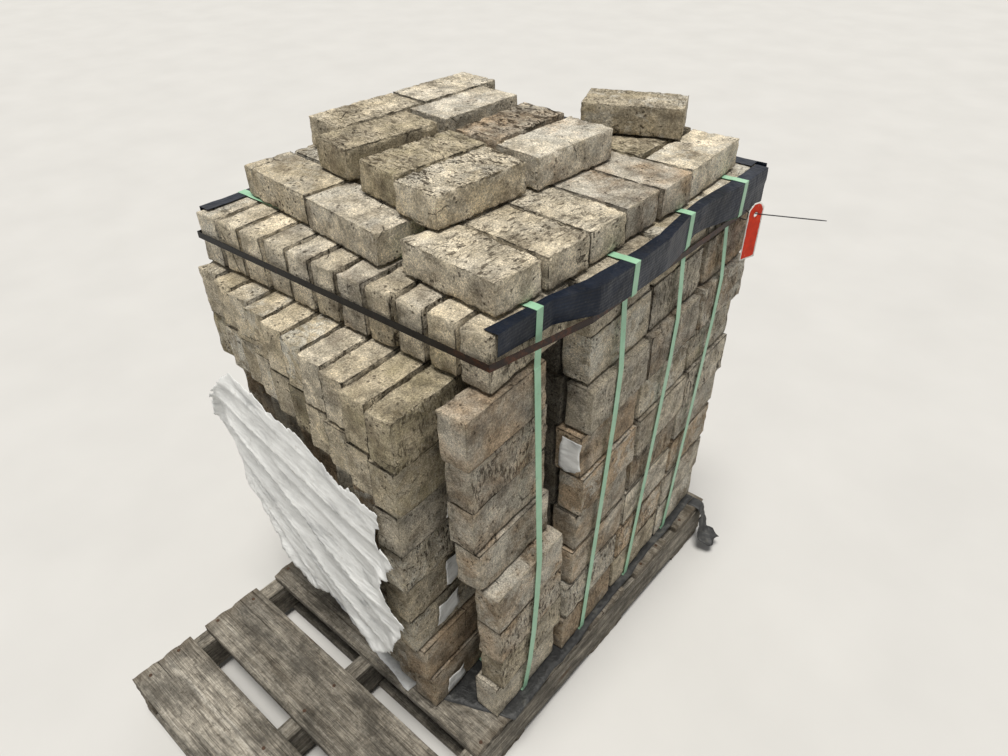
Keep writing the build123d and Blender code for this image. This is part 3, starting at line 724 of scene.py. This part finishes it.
def nail_heads(finish):
    """Two nails wherever a board crosses a stringer, as one piece."""
    dice = np.random.default_rng(77)
    beams = [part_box("stringer_" + side) for side in ("left", "middle", "right")]
    places = []
    rows = [("deck_board_%d" % n, DECK_TOP - 0.0006) for n in range(1, 8)]
    rows += [("bottom_board_%d" % n, 0.0013) for n in range(1, 5)]
    for board, height in rows:
        low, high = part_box(board)
        for beam_low, beam_high in beams:
            x = (beam_low.x + beam_high.x) / 2
            for share in (0.22, 0.76):
                y = low.y + share * (high.y - low.y)
                places.append((x + dice.uniform(-0.008, 0.008), y + dice.uniform(-0.01, 0.01), height))
    mesh = bpy.data.meshes.new("nail_places")
    mesh.from_pydata(places, [], [])
    carrier = bpy.data.objects.new("nail_places", mesh)
    bpy.context.scene.collection.objects.link(carrier)
    tree, sockets = nail_tree(finish)
    modifier = carrier.modifiers.new("nails", "NODES")
    modifier.node_group = tree
    for name, value in (("Head Radius", 0.0040), ("Head Height", 0.0015), ("Tilt", 0.10), ("Seed", 9)):
        modifier[sockets[name].identifier] = value
    depsgraph = bpy.context.evaluated_depsgraph_get()
    made = bpy.data.meshes.new_from_object(carrier.evaluated_get(depsgraph))
    made.name = "nail_heads"
    bpy.data.objects.remove(carrier)
    piece = bpy.data.objects.new("nail_heads", made)
    bpy.context.scene.collection.objects.link(piece)
    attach(piece, "root")
    return piece


# Edge guards


def guard_dents(points, straps, seed):
    """How far a guard bulges out between the straps that hold it down."""
    free = np.ones(len(points))
    for low, high in straps:
        inside_strap = (points[:, 1] > low - 0.004) & (points[:, 1] < high + 0.004)
        away = np.maximum(low - points[:, 1], points[:, 1] - high)
        free = np.minimum(free, np.where(inside_strap, 0.0, rising(away, 0.004, 0.030)))
    level = points * (1.0, 0.75, 1.3)
    bulge = 0.55 + 0.6 * lumps(level, 0.055, seed) + 0.35 * lumps(level, 0.022, seed + 1)
    return free * np.clip(bulge, 0, 1.4)


def crumpled_guard(node, number, finish):
    """Replaces an edge guard by a finely cut one that is dented between the straps."""
    mesh = bmesh.new()
    mesh.from_mesh(nodes[node].data)
    bmesh.ops.remove_doubles(mesh, verts=mesh.verts, dist=1e-6)
    low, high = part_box(node)
    for axis in range(3):
        way = Vector((0, 0, 0))
        way[axis] = 1
        for place in np.arange(low[axis] + 0.009, high[axis] - 0.002, 0.009):
            middle = Vector((0, 0, 0))
            middle[axis] = place
            parts = mesh.verts[:] + mesh.edges[:] + mesh.faces[:]
            bmesh.ops.bisect_plane(mesh, geom=parts, plane_co=middle, plane_no=way)
    bmesh.ops.triangulate(mesh, faces=mesh.faces)
    points = np.array([vert.co[:] for vert in mesh.verts])
    faces = [[vert.index for vert in face.verts] for face in mesh.faces]
    mesh.free()
    straps = []
    for strap_number in range(1, 5):
        strap_points = np.array([vert.co[:] for vert in nodes[f"strap_{strap_number}"].data.vertices])
        near = strap_points[np.abs(strap_points[:, 0] - points[:, 0].mean()) < 0.09]
        if len(near):
            straps.append((near[:, 1].min(), near[:, 1].max()))
    bulge = guard_dents(points, straps, 200 + number)
    band_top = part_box("steel_band")[1].z
    share = rising(points[:, 2], band_top + 0.003, band_top + 0.020)
    outward = np.sign(points[:, 0].mean()) if number < 2 else 0.0
    points[:, 0] += outward * 0.0034 * bulge * share
    points[:, 2] += 0.0016 * bulge * share
    piece = make_piece("dented_" + node, points, faces, finish)
    piece.data.set_sharp_from_angle(angle=math.radians(42))
    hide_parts(node)


# Torn and folded sheets


def ragged(outline, step, wobble, seed):
    """Points along a closed outline, a step apart, each pushed a little off it."""
    outline = np.array(outline, float)
    points = []
    for start, end in zip(outline, np.roll(outline, -1, axis=0)):
        length = np.linalg.norm(end - start)
        count = max(1, round(length / step))
        across = np.array((-(end - start)[1], (end - start)[0])) / max(length, 1e-9)
        for number in range(count):
            point = start + (end - start) * number / count
            at = np.array([[*point, 0.0]])
            points.append(point + across * wobble * (lumps(at, 3 * step, seed)[0] + 0.6 * lumps(at, step, seed + 1)[0]))
    return np.array(points)


def inside(points, outline):
    """Which points lie within a closed outline."""
    x, y = points[:, 0], points[:, 1]
    result = np.zeros(len(points), bool)
    for (x1, y1), (x2, y2) in zip(outline, np.roll(outline, -1, axis=0)):
        crosses = (y1 > y) != (y2 > y)
        with np.errstate(divide="ignore", invalid="ignore"):
            result ^= crosses & (x < (x2 - x1) * (y - y1) / (y2 - y1) + x1)
    return result


def cut_sheet(outline, step, wobble, seed, holes=()):
    """Flat points and triangles of a torn sheet, with its distance to the edge at each point."""
    border = ragged(outline, step, wobble, seed)
    rings = [border] + [np.array(hole) for hole in holes]
    low, high = border.min(0), border.max(0)
    dice = np.random.default_rng(seed)
    across, up = np.meshgrid(np.arange(low[0], high[0], step), np.arange(low[1], high[1], step * 0.87))
    across[1::2] += step / 2
    fill = np.stack((across.ravel(), up.ravel()), -1) + dice.uniform(-0.18, 0.18, (across.size, 2)) * step
    fill = fill[inside(fill, border)]
    edge_points = np.concatenate(rings)
    nearest = np.array([np.linalg.norm(edge_points - point, axis=1).min() for point in fill])
    fill = fill[nearest > 0.55 * step]
    for hole in rings[1:]:
        fill = fill[~inside(fill, hole)]
    points = np.concatenate(rings + [fill])
    edges, start = [], 0
    for ring in rings:
        count = len(ring)
        edges += [(start + n, start + (n + 1) % count) for n in range(count)]
        start += count
    made = delaunay_2d_cdt([Vector(p) for p in points], edges, [], 0, 1e-7)
    flat, triangles = np.array([v[:] for v in made[0]]), np.array(made[2])
    middles = flat[triangles].mean(1)
    keep = inside(middles, border)
    for hole in rings[1:]:
        keep &= ~inside(middles, hole)
    triangles = triangles[keep]
    used = np.unique(triangles)
    renumber = np.zeros(len(flat), int)
    renumber[used] = np.arange(len(used))
    flat, triangles = flat[used], renumber[triangles]
    margin = np.array([np.linalg.norm(border - point, axis=1).min() for point in flat])
    return flat, triangles, margin


def flat_area(flat, triangles):
    a, b, c = (flat[triangles[:, n]] for n in range(3))
    return float(np.abs((b - a)[:, 0] * (c - a)[:, 1] - (b - a)[:, 1] * (c - a)[:, 0]).sum() / 2)


def sheet_piece(name, node, points, flat, triangles, finish, thickness, attributes=None):
    """A thin closed sheet made from its shaped points and given a thickness; the size and area it was cut to are worked
    out and left unused.
    """
    piece = make_piece(name, points, triangles, finish, attributes)
    wall = piece.modifiers.new("thickness", "SOLIDIFY")
    wall.thickness = thickness
    wall.offset = 0
    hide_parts(node)
    size = np.ptp(flat, axis=0)
    area = flat_area(flat, triangles)
    return piece


def crease(flat, start, end, width):
    """A fold line: it falls away over width above the line and drops sharply below it."""
    start, end = np.array(start) * MM, np.array(end) * MM
    run = end - start
    length = np.linalg.norm(run)
    share = (flat - start) @ run / length**2
    away = (flat - start) @ np.array((-run[1], run[0])) / length
    away = np.where(away < 0, -away / 0.0022, away / (width * MM))
    fade = rising(share, -0.05, 0.1) * (1 - rising(share, 0.85, 1.05))
    return np.exp(-away) * fade


# The front film: its outline from its near end and from the top of the stack (mm)
FILM_START = (-87.0, -134.0, 1039.9)
FILM_SLOPE = math.radians(9.9)
FILM_OUTLINE = (
    (-574, -322), (-466, -318), (-396, -325), (-312, -305), (-238, -314), (-176, -325),
    (-94, -317), (-44, -313), (-37, -380), (-11, -406), (-46, -484), (-40, -558),
    (-4, -562), (-56, -700), (-118, -742), (-168, -725), (-222, -718), (-280, -735),
    (-330, -760), (-400, -790), (-520, -694), (-615, -660), (-645, -566), (-690, -513),
    (-695, -467), (-628, -376),
)
FILM_HOLE = ((-52, -352), (-40, -345), (-30, -368), (-40, -392), (-54, -380))
# Fold lines of the film: start, end, height and width (mm)
FILM_CREASES = (
    ((-640, -366), (-50, -336), 5.0, 16.0),
    ((-690, -424), (-46, -398), 9.0, 26.0),
    ((-420, -452), (-44, -462), 6.0, 20.0),
    ((-650, -462), (-31, -574), 17.0, 40.0),
    ((-694, -500), (-330, -560), 8.0, 22.0),
    ((-300, -560), (-30, -620), 9.0, 24.0),
    ((-640, -560), (-60, -690), 13.0, 36.0),
    ((-610, -606), (-200, -700), 7.0, 18.0),
    ((-600, -640), (-300, -752), 9.0, 26.0),
    ((-690, -500), (-640, -380), 12.0, 16.0),
    ((-560, -690), (-400, -780), 6.0, 14.0),
)


def film_on_front():
    """The torn film that hangs on the front row, pleated from its left end."""
    outline = np.array(FILM_OUTLINE) * MM
    flat, triangles, margin = cut_sheet(outline, 0.0052, 0.0056, 61, [np.array(FILM_HOLE) * MM])
    level = np.column_stack((flat, np.zeros(len(flat))))
    off = 0.0030 * (1 + lumps(level, 0.13, 62)) + 0.0010 * (1 + lumps(level * (0.4, 1, 1), 0.03, 63)) + 0.0005 * (1 + lumps(level, 0.012, 64))
    for start, end, height, width in FILM_CREASES:
        off += height * MM * crease(flat, start, end, width)
    low_edge = rising(-flat[:, 1], 0.60, 0.79)
    off += 0.010 * low_edge + 0.006 * (1 - rising(margin, 0, 0.03)) * (1 + lumps(level, 0.05, 65))
    off *= 0.25 + 0.75 * rising(-flat[:, 1], 0.318, 0.37)
    c, s = math.cos(FILM_SLOPE), math.sin(FILM_SLOPE)
    across, out = np.array((c, -s, 0.0)), np.array((-s, -c, 0.0))
    start = np.array(FILM_START) * MM
    points = start + flat[:, :1] * across + flat[:, 1:] * (0, 0, 1) + off[:, None] * out
    return sheet_piece(
        "torn_film", "film_sheet", on_stack(points), flat, triangles, film,
        0.0003,
    )


FILM_TAIL = ((-515, -22), (-400, -45), (-300, -68), (-172, -92), (-165, -62), (-300, -36), (-410, -12), (-506, 6))


def film_on_deck():
    """The folded strip of film along the foot of the front row."""
    outline = np.array(FILM_TAIL) * MM
    flat, triangles, margin = cut_sheet(outline, 0.006, 0.002, 71)
    level = np.column_stack((flat, np.zeros(len(flat))))
    rise = 0.0006 + 0.0035 * (1 + lumps(level * (0.5, 1, 1), 0.022, 72)) * rising(margin, 0, 0.012)
    points = np.column_stack((flat, DECK_TOP + rise))
    return sheet_piece(
        "film_strip_on_deck", "film_tail", on_stack(points), flat, triangles, film,
        0.0004,
    )


# Film scraps on the near end of the front row: x, low z, height, low y and high y (mm)
ROW_END_SCRAPS = (
    (-89.1, 646.4, 36.0, -17.0, 16.0),
    (-106.1, 443.4, 78.0, -16.0, 31.0),
    (-109.1, 351.9, 62.0, -45.0, 19.0),
    (-94.1, 138.9, 50.0, -50.0, 4.0),
)
# The one in the slot behind the corner bricks: y, low z, height, low x and high x
SLOT_SCRAP = (205.6, 642.4, 84.0, -12.0, 38.0)


def film_scrap(number, width, height, place):
    """A small torn flap of film: place turns its flat points and lift into the stack's frame."""
    dice = np.random.default_rng(80 + number)
    w, h = width * MM, height * MM
    outline = [(0.0, 0.1 * h), (0.3 * w, 0.0), (0.7 * w, 0.08 * h), (w, 0.25 * h), (0.93 * w, 0.7 * h), (w, h), (0.5 * w, 0.94 * h), (0.1 * w, h)]
    outline = np.array(outline) + dice.uniform(-0.04, 0.04, (8, 2)) * min(w, h)
    outline = np.clip(outline, (0, 0), (w, h))
    flat, triangles, margin = cut_sheet(outline, 0.005, 0.0014, 81 + number)
    level = np.column_stack((flat, np.full(len(flat), 0.1 * number)))
    lift = 0.0004 + 0.0022 * (1 + lumps(level, 0.02, 85)) * rising(flat[:, 1], 0, 0.3 * h)
    return sheet_piece(
        f"film_scrap_{number}", "film_scraps", on_stack(place(flat, lift)), flat, triangles, film,
        0.0003,
    )


def film_scraps():
    for number, (x, low_z, height, low_y, high_y) in enumerate(ROW_END_SCRAPS, start=1):
        start = np.array((x, low_y, low_z)) * MM

        def place(flat, lift):
            return start + np.column_stack((lift, flat))

        film_scrap(number, high_y - low_y, height, place)
    y, low_z, height, low_x, high_x = SLOT_SCRAP
    start = np.array((low_x, y, low_z)) * MM
    film_scrap(5, high_x - low_x, height, lambda flat, lift: start + np.column_stack((flat[:, 0], -lift, flat[:, 1])))


SLIP_SHEET = ((-569.0, 35.0), (-115.0, -66.0), (46.0, -4.0), (46.0, 784.2), (-569.0, 784.2))
SLIP_SHEET_BASE = 125.1 * MM


def slip_sheet():
    """The black sheet under the bricks, wavy where it stands out past them."""
    flat, triangles, margin = cut_sheet(np.array(SLIP_SHEET) * MM, 0.014, 0.0026, 91)
    level = np.column_stack((flat, np.zeros(len(flat))))
    free = rising(flat[:, 0], 0.030, 0.040)
    rise = 0.0004 + 0.0018 * free * (1 + lumps(level, 0.035, 92))
    points = np.column_stack((flat, SLIP_SHEET_BASE + rise))
    return sheet_piece(
        "black_slip_sheet", "slip_sheet", on_stack(points), flat, triangles, slip,
        0.0006,
    )


# The torn end of the slip sheet, from its edge: out and down (mm)
FLAP_RUN = ((46.1, 126.1), (66.0, 126.0), (79.1, 122.0), (86.0, 96.0), (92.0, 66.0), (98.0, 44.0), (118.0, 37.0), (139.0, 32.1))
FLAP_FAR = 784.2
FLAP_WIDTH = 45.0


def flap():
    """The sheet's torn end droops past the corner and spreads into a crumpled leaf."""
    run = np.array(FLAP_RUN) * MM
    steps = np.concatenate(([0], np.cumsum(np.linalg.norm(np.diff(run, axis=0), axis=1))))
    length, wide = steps[-1], FLAP_WIDTH * MM
    outline = [
        (0, 0.30), (0.5, 0.36), (0.62, -0.10), (0.80, -0.20), (0.92, -0.06), (1.0, 0.2),
        (0.96, 0.6), (1.0, 1.0), (0.84, 1.20), (0.7, 1.08), (0.58, 1.14), (0.45, 0.98), (0, 1.0),
    ]
    outline = np.array(outline) * (length, wide)
    flat, triangles, margin = cut_sheet(outline, 0.006, 0.0016, 95)
    level = np.column_stack((flat, np.zeros(len(flat))))
    x = np.interp(flat[:, 0], steps, run[:, 0])
    z = np.interp(flat[:, 0], steps, run[:, 1])
    crumple = rising(flat[:, 0], 0.01, 0.06) * (0.0045 * lumps(level, 0.018, 96) + 0.002 * lumps(level, 0.008, 97))
    leaf = rising(flat[:, 0] / length, 0.55, 0.7)
    points = np.column_stack((x + crumple * (1 - leaf), FLAP_FAR * MM - wide + flat[:, 1], z + crumple * leaf - 0.0004))
    points[:, 0] = np.minimum(points[:, 0], run[-1, 0])
    return sheet_piece(
        "slip_sheet_torn_end", "slip_sheet_flap", on_stack(points), flat, triangles, slip,
        0.0006,
    )


# Cable tie and tag

TIE_Y = 770 * MM
TIE_MIDDLE_Z = 949.24 * MM
TIE_INNER_X = 32.6 * MM
TIE_TAIL_RISE = math.radians(9.4)


def swept(path, widths, thickness, across):
    """A flat strip with rounded edges along a path; across is the way of its width."""
    path = np.array(path, float)
    along = np.gradient(path, axis=0)
    along /= np.linalg.norm(along, axis=1, keepdims=True)
    across = np.array(across, float)
    up = np.cross(along, across)
    up /= np.linalg.norm(up, axis=1, keepdims=True)
    section = np.array([(0.5, 0.25), (0.42, 0.5), (-0.42, 0.5), (-0.5, 0.25), (-0.5, -0.25), (-0.42, -0.5), (0.42, -0.5), (0.5, -0.25)])
    points, quads, sides = [], [], len(section)
    for centre, width, lift in zip(path, widths, up):
        for u, v in section:
            points.append(centre + across * u * width + lift * v * thickness)
    for ring in range(len(path) - 1):
        for n in range(sides):
            a, b = ring * sides + n, ring * sides + (n + 1) % sides
            quads.append([a, b, b + sides, a + sides])
    last = (len(path) - 1) * sides
    quads += [list(range(sides))[::-1], [last + n for n in range(sides)]]
    return np.array(points), quads


def cable_tie():
    """A loop round the steel band, its head, and a long tail that stands out."""
    half_wide, high = 0.0079, 0.0096
    centre_x = TIE_INNER_X + half_wide + 0.0006
    loop = []
    for angle in np.linspace(0, math.tau, 41):
        c, s = math.cos(angle), math.sin(angle)
        power = 0.55
        loop.append(
            (
                centre_x + half_wide * math.copysign(abs(c) ** power, c),
                TIE_Y,
                TIE_MIDDLE_Z + high * math.copysign(abs(s) ** power, s),
            )
        )
    parts = [swept(loop, [0.0038] * len(loop), 0.0012, (0, 1, 0))]
    start = np.array((TIE_INNER_X + 0.0164, TIE_Y, TIE_MIDDLE_Z + 0.006))
    way = np.array((math.cos(TIE_TAIL_RISE), 0, math.sin(TIE_TAIL_RISE)))
    shares = np.linspace(0, 1, 30)
    tail = [start + way * 0.1535 * t for t in shares]
    widths = [0.0038 if t < 0.9 else 0.0038 - 0.022 * (t - 0.9) for t in shares]
    parts.append(swept(tail, widths, 0.0012, (0, 1, 0)))
    head = [start + way * t for t in (-0.0008, 0.0002, 0.0012, 0.0042, 0.0052)]
    parts.append(swept(head, [0.0034, 0.0039, 0.0040, 0.0040, 0.0034], 0.0042, (0, 1, 0)))
    points, faces, count = [], [], 0
    for some, quads in parts:
        points.append(some)
        faces += [[index + count for index in quad] for quad in quads]
        count += len(some)
    piece = make_piece("black_cable_tie", on_stack(np.concatenate(points)), faces, tie)
    mesh = bmesh.new()
    mesh.from_mesh(piece.data)
    bmesh.ops.recalc_face_normals(mesh, faces=mesh.faces)
    mesh.to_mesh(piece.data)
    mesh.free()
    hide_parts("cable_tie")


TAG_X = 64 * MM
TAG_TURN = math.radians(70)
TAG_WIDTH = 42 * MM
TAG_HEIGHT = 125 * MM
TAG_TOP = 24 * MM
TAG_HOLE_RADIUS = 4 * MM
TAG_HOLE_Z = -1.8 * MM


def tag():
    """The hanging tag: cut corners at the top, a hole and a slight bow."""
    w, top, low = TAG_WIDTH / 2, TAG_TOP, TAG_TOP - TAG_HEIGHT
    cut = 0.013
    outline = [(-w, low), (w, low), (w, top - cut), (w - cut, top), (-w + cut, top), (-w, top - cut)]
    angles = np.linspace(0, math.tau, 16, endpoint=False)
    hole = np.stack((TAG_HOLE_RADIUS * np.cos(angles), TAG_HOLE_Z + TAG_HOLE_RADIUS * np.sin(angles)), -1)
    flat, triangles, margin = cut_sheet(np.array(outline), 0.005, 0.0001, 101, [hole])
    ring = np.abs(np.linalg.norm(flat - (0, TAG_HOLE_Z), axis=1) - TAG_HOLE_RADIUS)
    bow = 0.0016 * ((flat[:, 1] - top) / TAG_HEIGHT) ** 2 * np.cos(flat[:, 0] / w)
    local = np.column_stack((flat[:, 0], bow, flat[:, 1]))
    c, s = math.cos(TAG_TURN), math.sin(TAG_TURN)
    turned = np.column_stack((c * local[:, 0] - s * local[:, 1], s * local[:, 0] + c * local[:, 1], local[:, 2]))
    start_x = TIE_INNER_X + 0.0164
    hang_z = TIE_MIDDLE_Z + 0.006 + (TAG_X - start_x) * math.tan(TIE_TAIL_RISE)
    points = turned + (TAG_X, TIE_Y, hang_z)
    piece = make_piece("orange_tag", on_stack(points), triangles, card, {"tag_margin": np.minimum(margin, ring + 0.002)})
    wall = piece.modifiers.new("thickness", "SOLIDIFY")
    wall.thickness = 0.0005
    wall.offset = 0
    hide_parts("tag")
    flat_area(flat, triangles)


def dress(node, finish, slot):
    """Gives a CAD node that stays its finish."""
    materials = nodes[node].data.materials
    materials.clear()
    materials.append(finish)


brick = brick_finish("weathered_brick", True)
wood = wood_finish()
film = film_finish()
slip = slip_sheet_finish()
card = tag_finish()
tie = tie_finish()

brick_nodes = [f"brick_tier_{tier + 1}" for tier in range(TIERS)] + ["loose_bricks_lower", "loose_bricks_upper"]
all_bricks = [block for node in brick_nodes for block in blocks_in(node)]

for tier in range(TIERS):
    pitch = TOP_BRICK_PITCH if tier > TIERS - 3 else STACK_BRICK_PITCH
    wear = TOP_WEAR if tier == TIERS - 1 else STACK_WEAR
    worn_bricks(f"brick_tier_{tier + 1}", STACK_EDGE_LINES, pitch, wear, tier_look(tier), 10 + tier)
worn_bricks("loose_bricks_lower", LOOSE_EDGE_LINES, LOOSE_BRICK_PITCH, LOOSE_WEAR, loose_look(0), 30)
worn_bricks("loose_bricks_upper", LOOSE_EDGE_LINES, LOOSE_BRICK_PITCH, LOOSE_WEAR, loose_look(1), 31)
# The hidden core gets the brick finish painted dark as shade, for bricks seen deep in the slots.
dress("hidden_brick_core", brick_finish("shadowed_brick", False), "brick")

beams = ["stringer_left", "stringer_middle", "stringer_right"]
boards = [f"deck_board_{n}" for n in range(1, 8)] + [f"bottom_board_{n}" for n in range(1, 5)]
for number, node in enumerate(boards + beams):
    worn_board(node, number, wood)
nail_heads(nail_finish())

film_on_front()
film_on_deck()
film_scraps()
slip_sheet()
flap()
cable_tie()
tag()

strap = strap_finish()
for number in range(1, 5):
    dress(f"strap_{number}", strap, "strap_plastic")
dress("steel_band", band_finish(), "band_steel")
guard = protector_finish()
for number, side in enumerate(("right", "left", "rear")):
    crumpled_guard("edge_protector_" + side, number, guard)


# Stage


def floor():
    """A plain pale floor that runs far behind the object."""
    size = 14.0
    mesh = bpy.data.meshes.new("floor")
    mesh.from_pydata([(-size, -size, 0), (size, -size, 0), (size, size, 0), (-size, size, 0)], [], [(0, 1, 2, 3)])
    f = Finish("pale_floor", Roughness=0.9, Specular_IOR_Level=0.1)
    place = f.object_place()
    colour = f.ramp(f.noise(place, 3.0, 3), ((0.3, (202, 201, 198)), (0.7, (207, 206, 203))))
    mesh.materials.append(f.done(Base_Color=colour))
    ground = bpy.data.objects.new("floor", mesh)
    bpy.context.scene.collection.objects.link(ground)


def lights():
    """An even pale sky, a pale backdrop and one broad soft lamp from the front left."""
    world = bpy.data.worlds.new("pale_sky")
    bpy.context.scene.world = world
    world.use_nodes = True
    sky = world.node_tree.nodes["Background"]
    sky.inputs["Color"].default_value = (0.97, 0.98, 1.0, 1)
    sky.inputs["Strength"].default_value = 0.27
    nodes, link = world.node_tree.nodes, world.node_tree.links.new
    backdrop, path, either = nodes.new("ShaderNodeBackground"), nodes.new("ShaderNodeLightPath"), nodes.new("ShaderNodeMixShader")
    backdrop.inputs["Color"].default_value = (0.78, 0.76, 0.73, 1)
    shown = path.outputs["Is Camera Ray"]
    for ray in ("Is Glossy Ray", "Is Transmission Ray"):
        larger = nodes.new("ShaderNodeMath")
        larger.operation = "MAXIMUM"
        link(shown, larger.inputs[0])
        link(path.outputs[ray], larger.inputs[1])
        shown = larger.outputs[0]
    link(shown, either.inputs[0])
    link(sky.outputs[0], either.inputs[1])
    link(backdrop.outputs[0], either.inputs[2])
    link(either.outputs[0], nodes["World Output"].inputs["Surface"])
    lamp = bpy.data.lights.new("soft_sun", "SUN")
    lamp.energy = 3.4
    lamp.angle = math.radians(24)
    lamp.color = (1.0, 0.97, 0.92)
    holder = bpy.data.objects.new("soft_sun", lamp)
    holder.rotation_euler = Vector((-0.08, 0.13, -1.0)).to_track_quat("-Z", "Y").to_euler()
    bpy.context.scene.collection.objects.link(holder)


def camera():
    """The photograph's viewing angle."""
    data = bpy.data.cameras.new("camera")
    data.sensor_width = 36.0
    data.lens = 26.616
    data.clip_end = 100.0
    holder = bpy.data.objects.new("camera", data)
    bpy.context.scene.collection.objects.link(holder)
    yaw, pitch, roll = (math.radians(angle) for angle in (41.39, 37.07, -0.9))
    ahead = Vector((-math.sin(yaw) * math.cos(pitch), math.cos(yaw) * math.cos(pitch), -math.sin(pitch)))
    level_right = ahead.cross(Vector((0, 0, 1))).normalized()
    level_up = level_right.cross(ahead)
    right = math.cos(roll) * level_right + math.sin(roll) * level_up
    up = -math.sin(roll) * level_right + math.cos(roll) * level_up
    place = Vector((0.86496, -0.79129, 1.60181))
    columns = (right, up, -ahead)
    rows = [[column[row] for column in columns] + [place[row]] for row in range(3)]
    holder.matrix_world = Matrix(rows + [[0, 0, 0, 1]])
    bpy.context.scene.camera = holder


floor()
lights()
camera()
bpy.context.scene.view_settings.view_transform = "Standard"
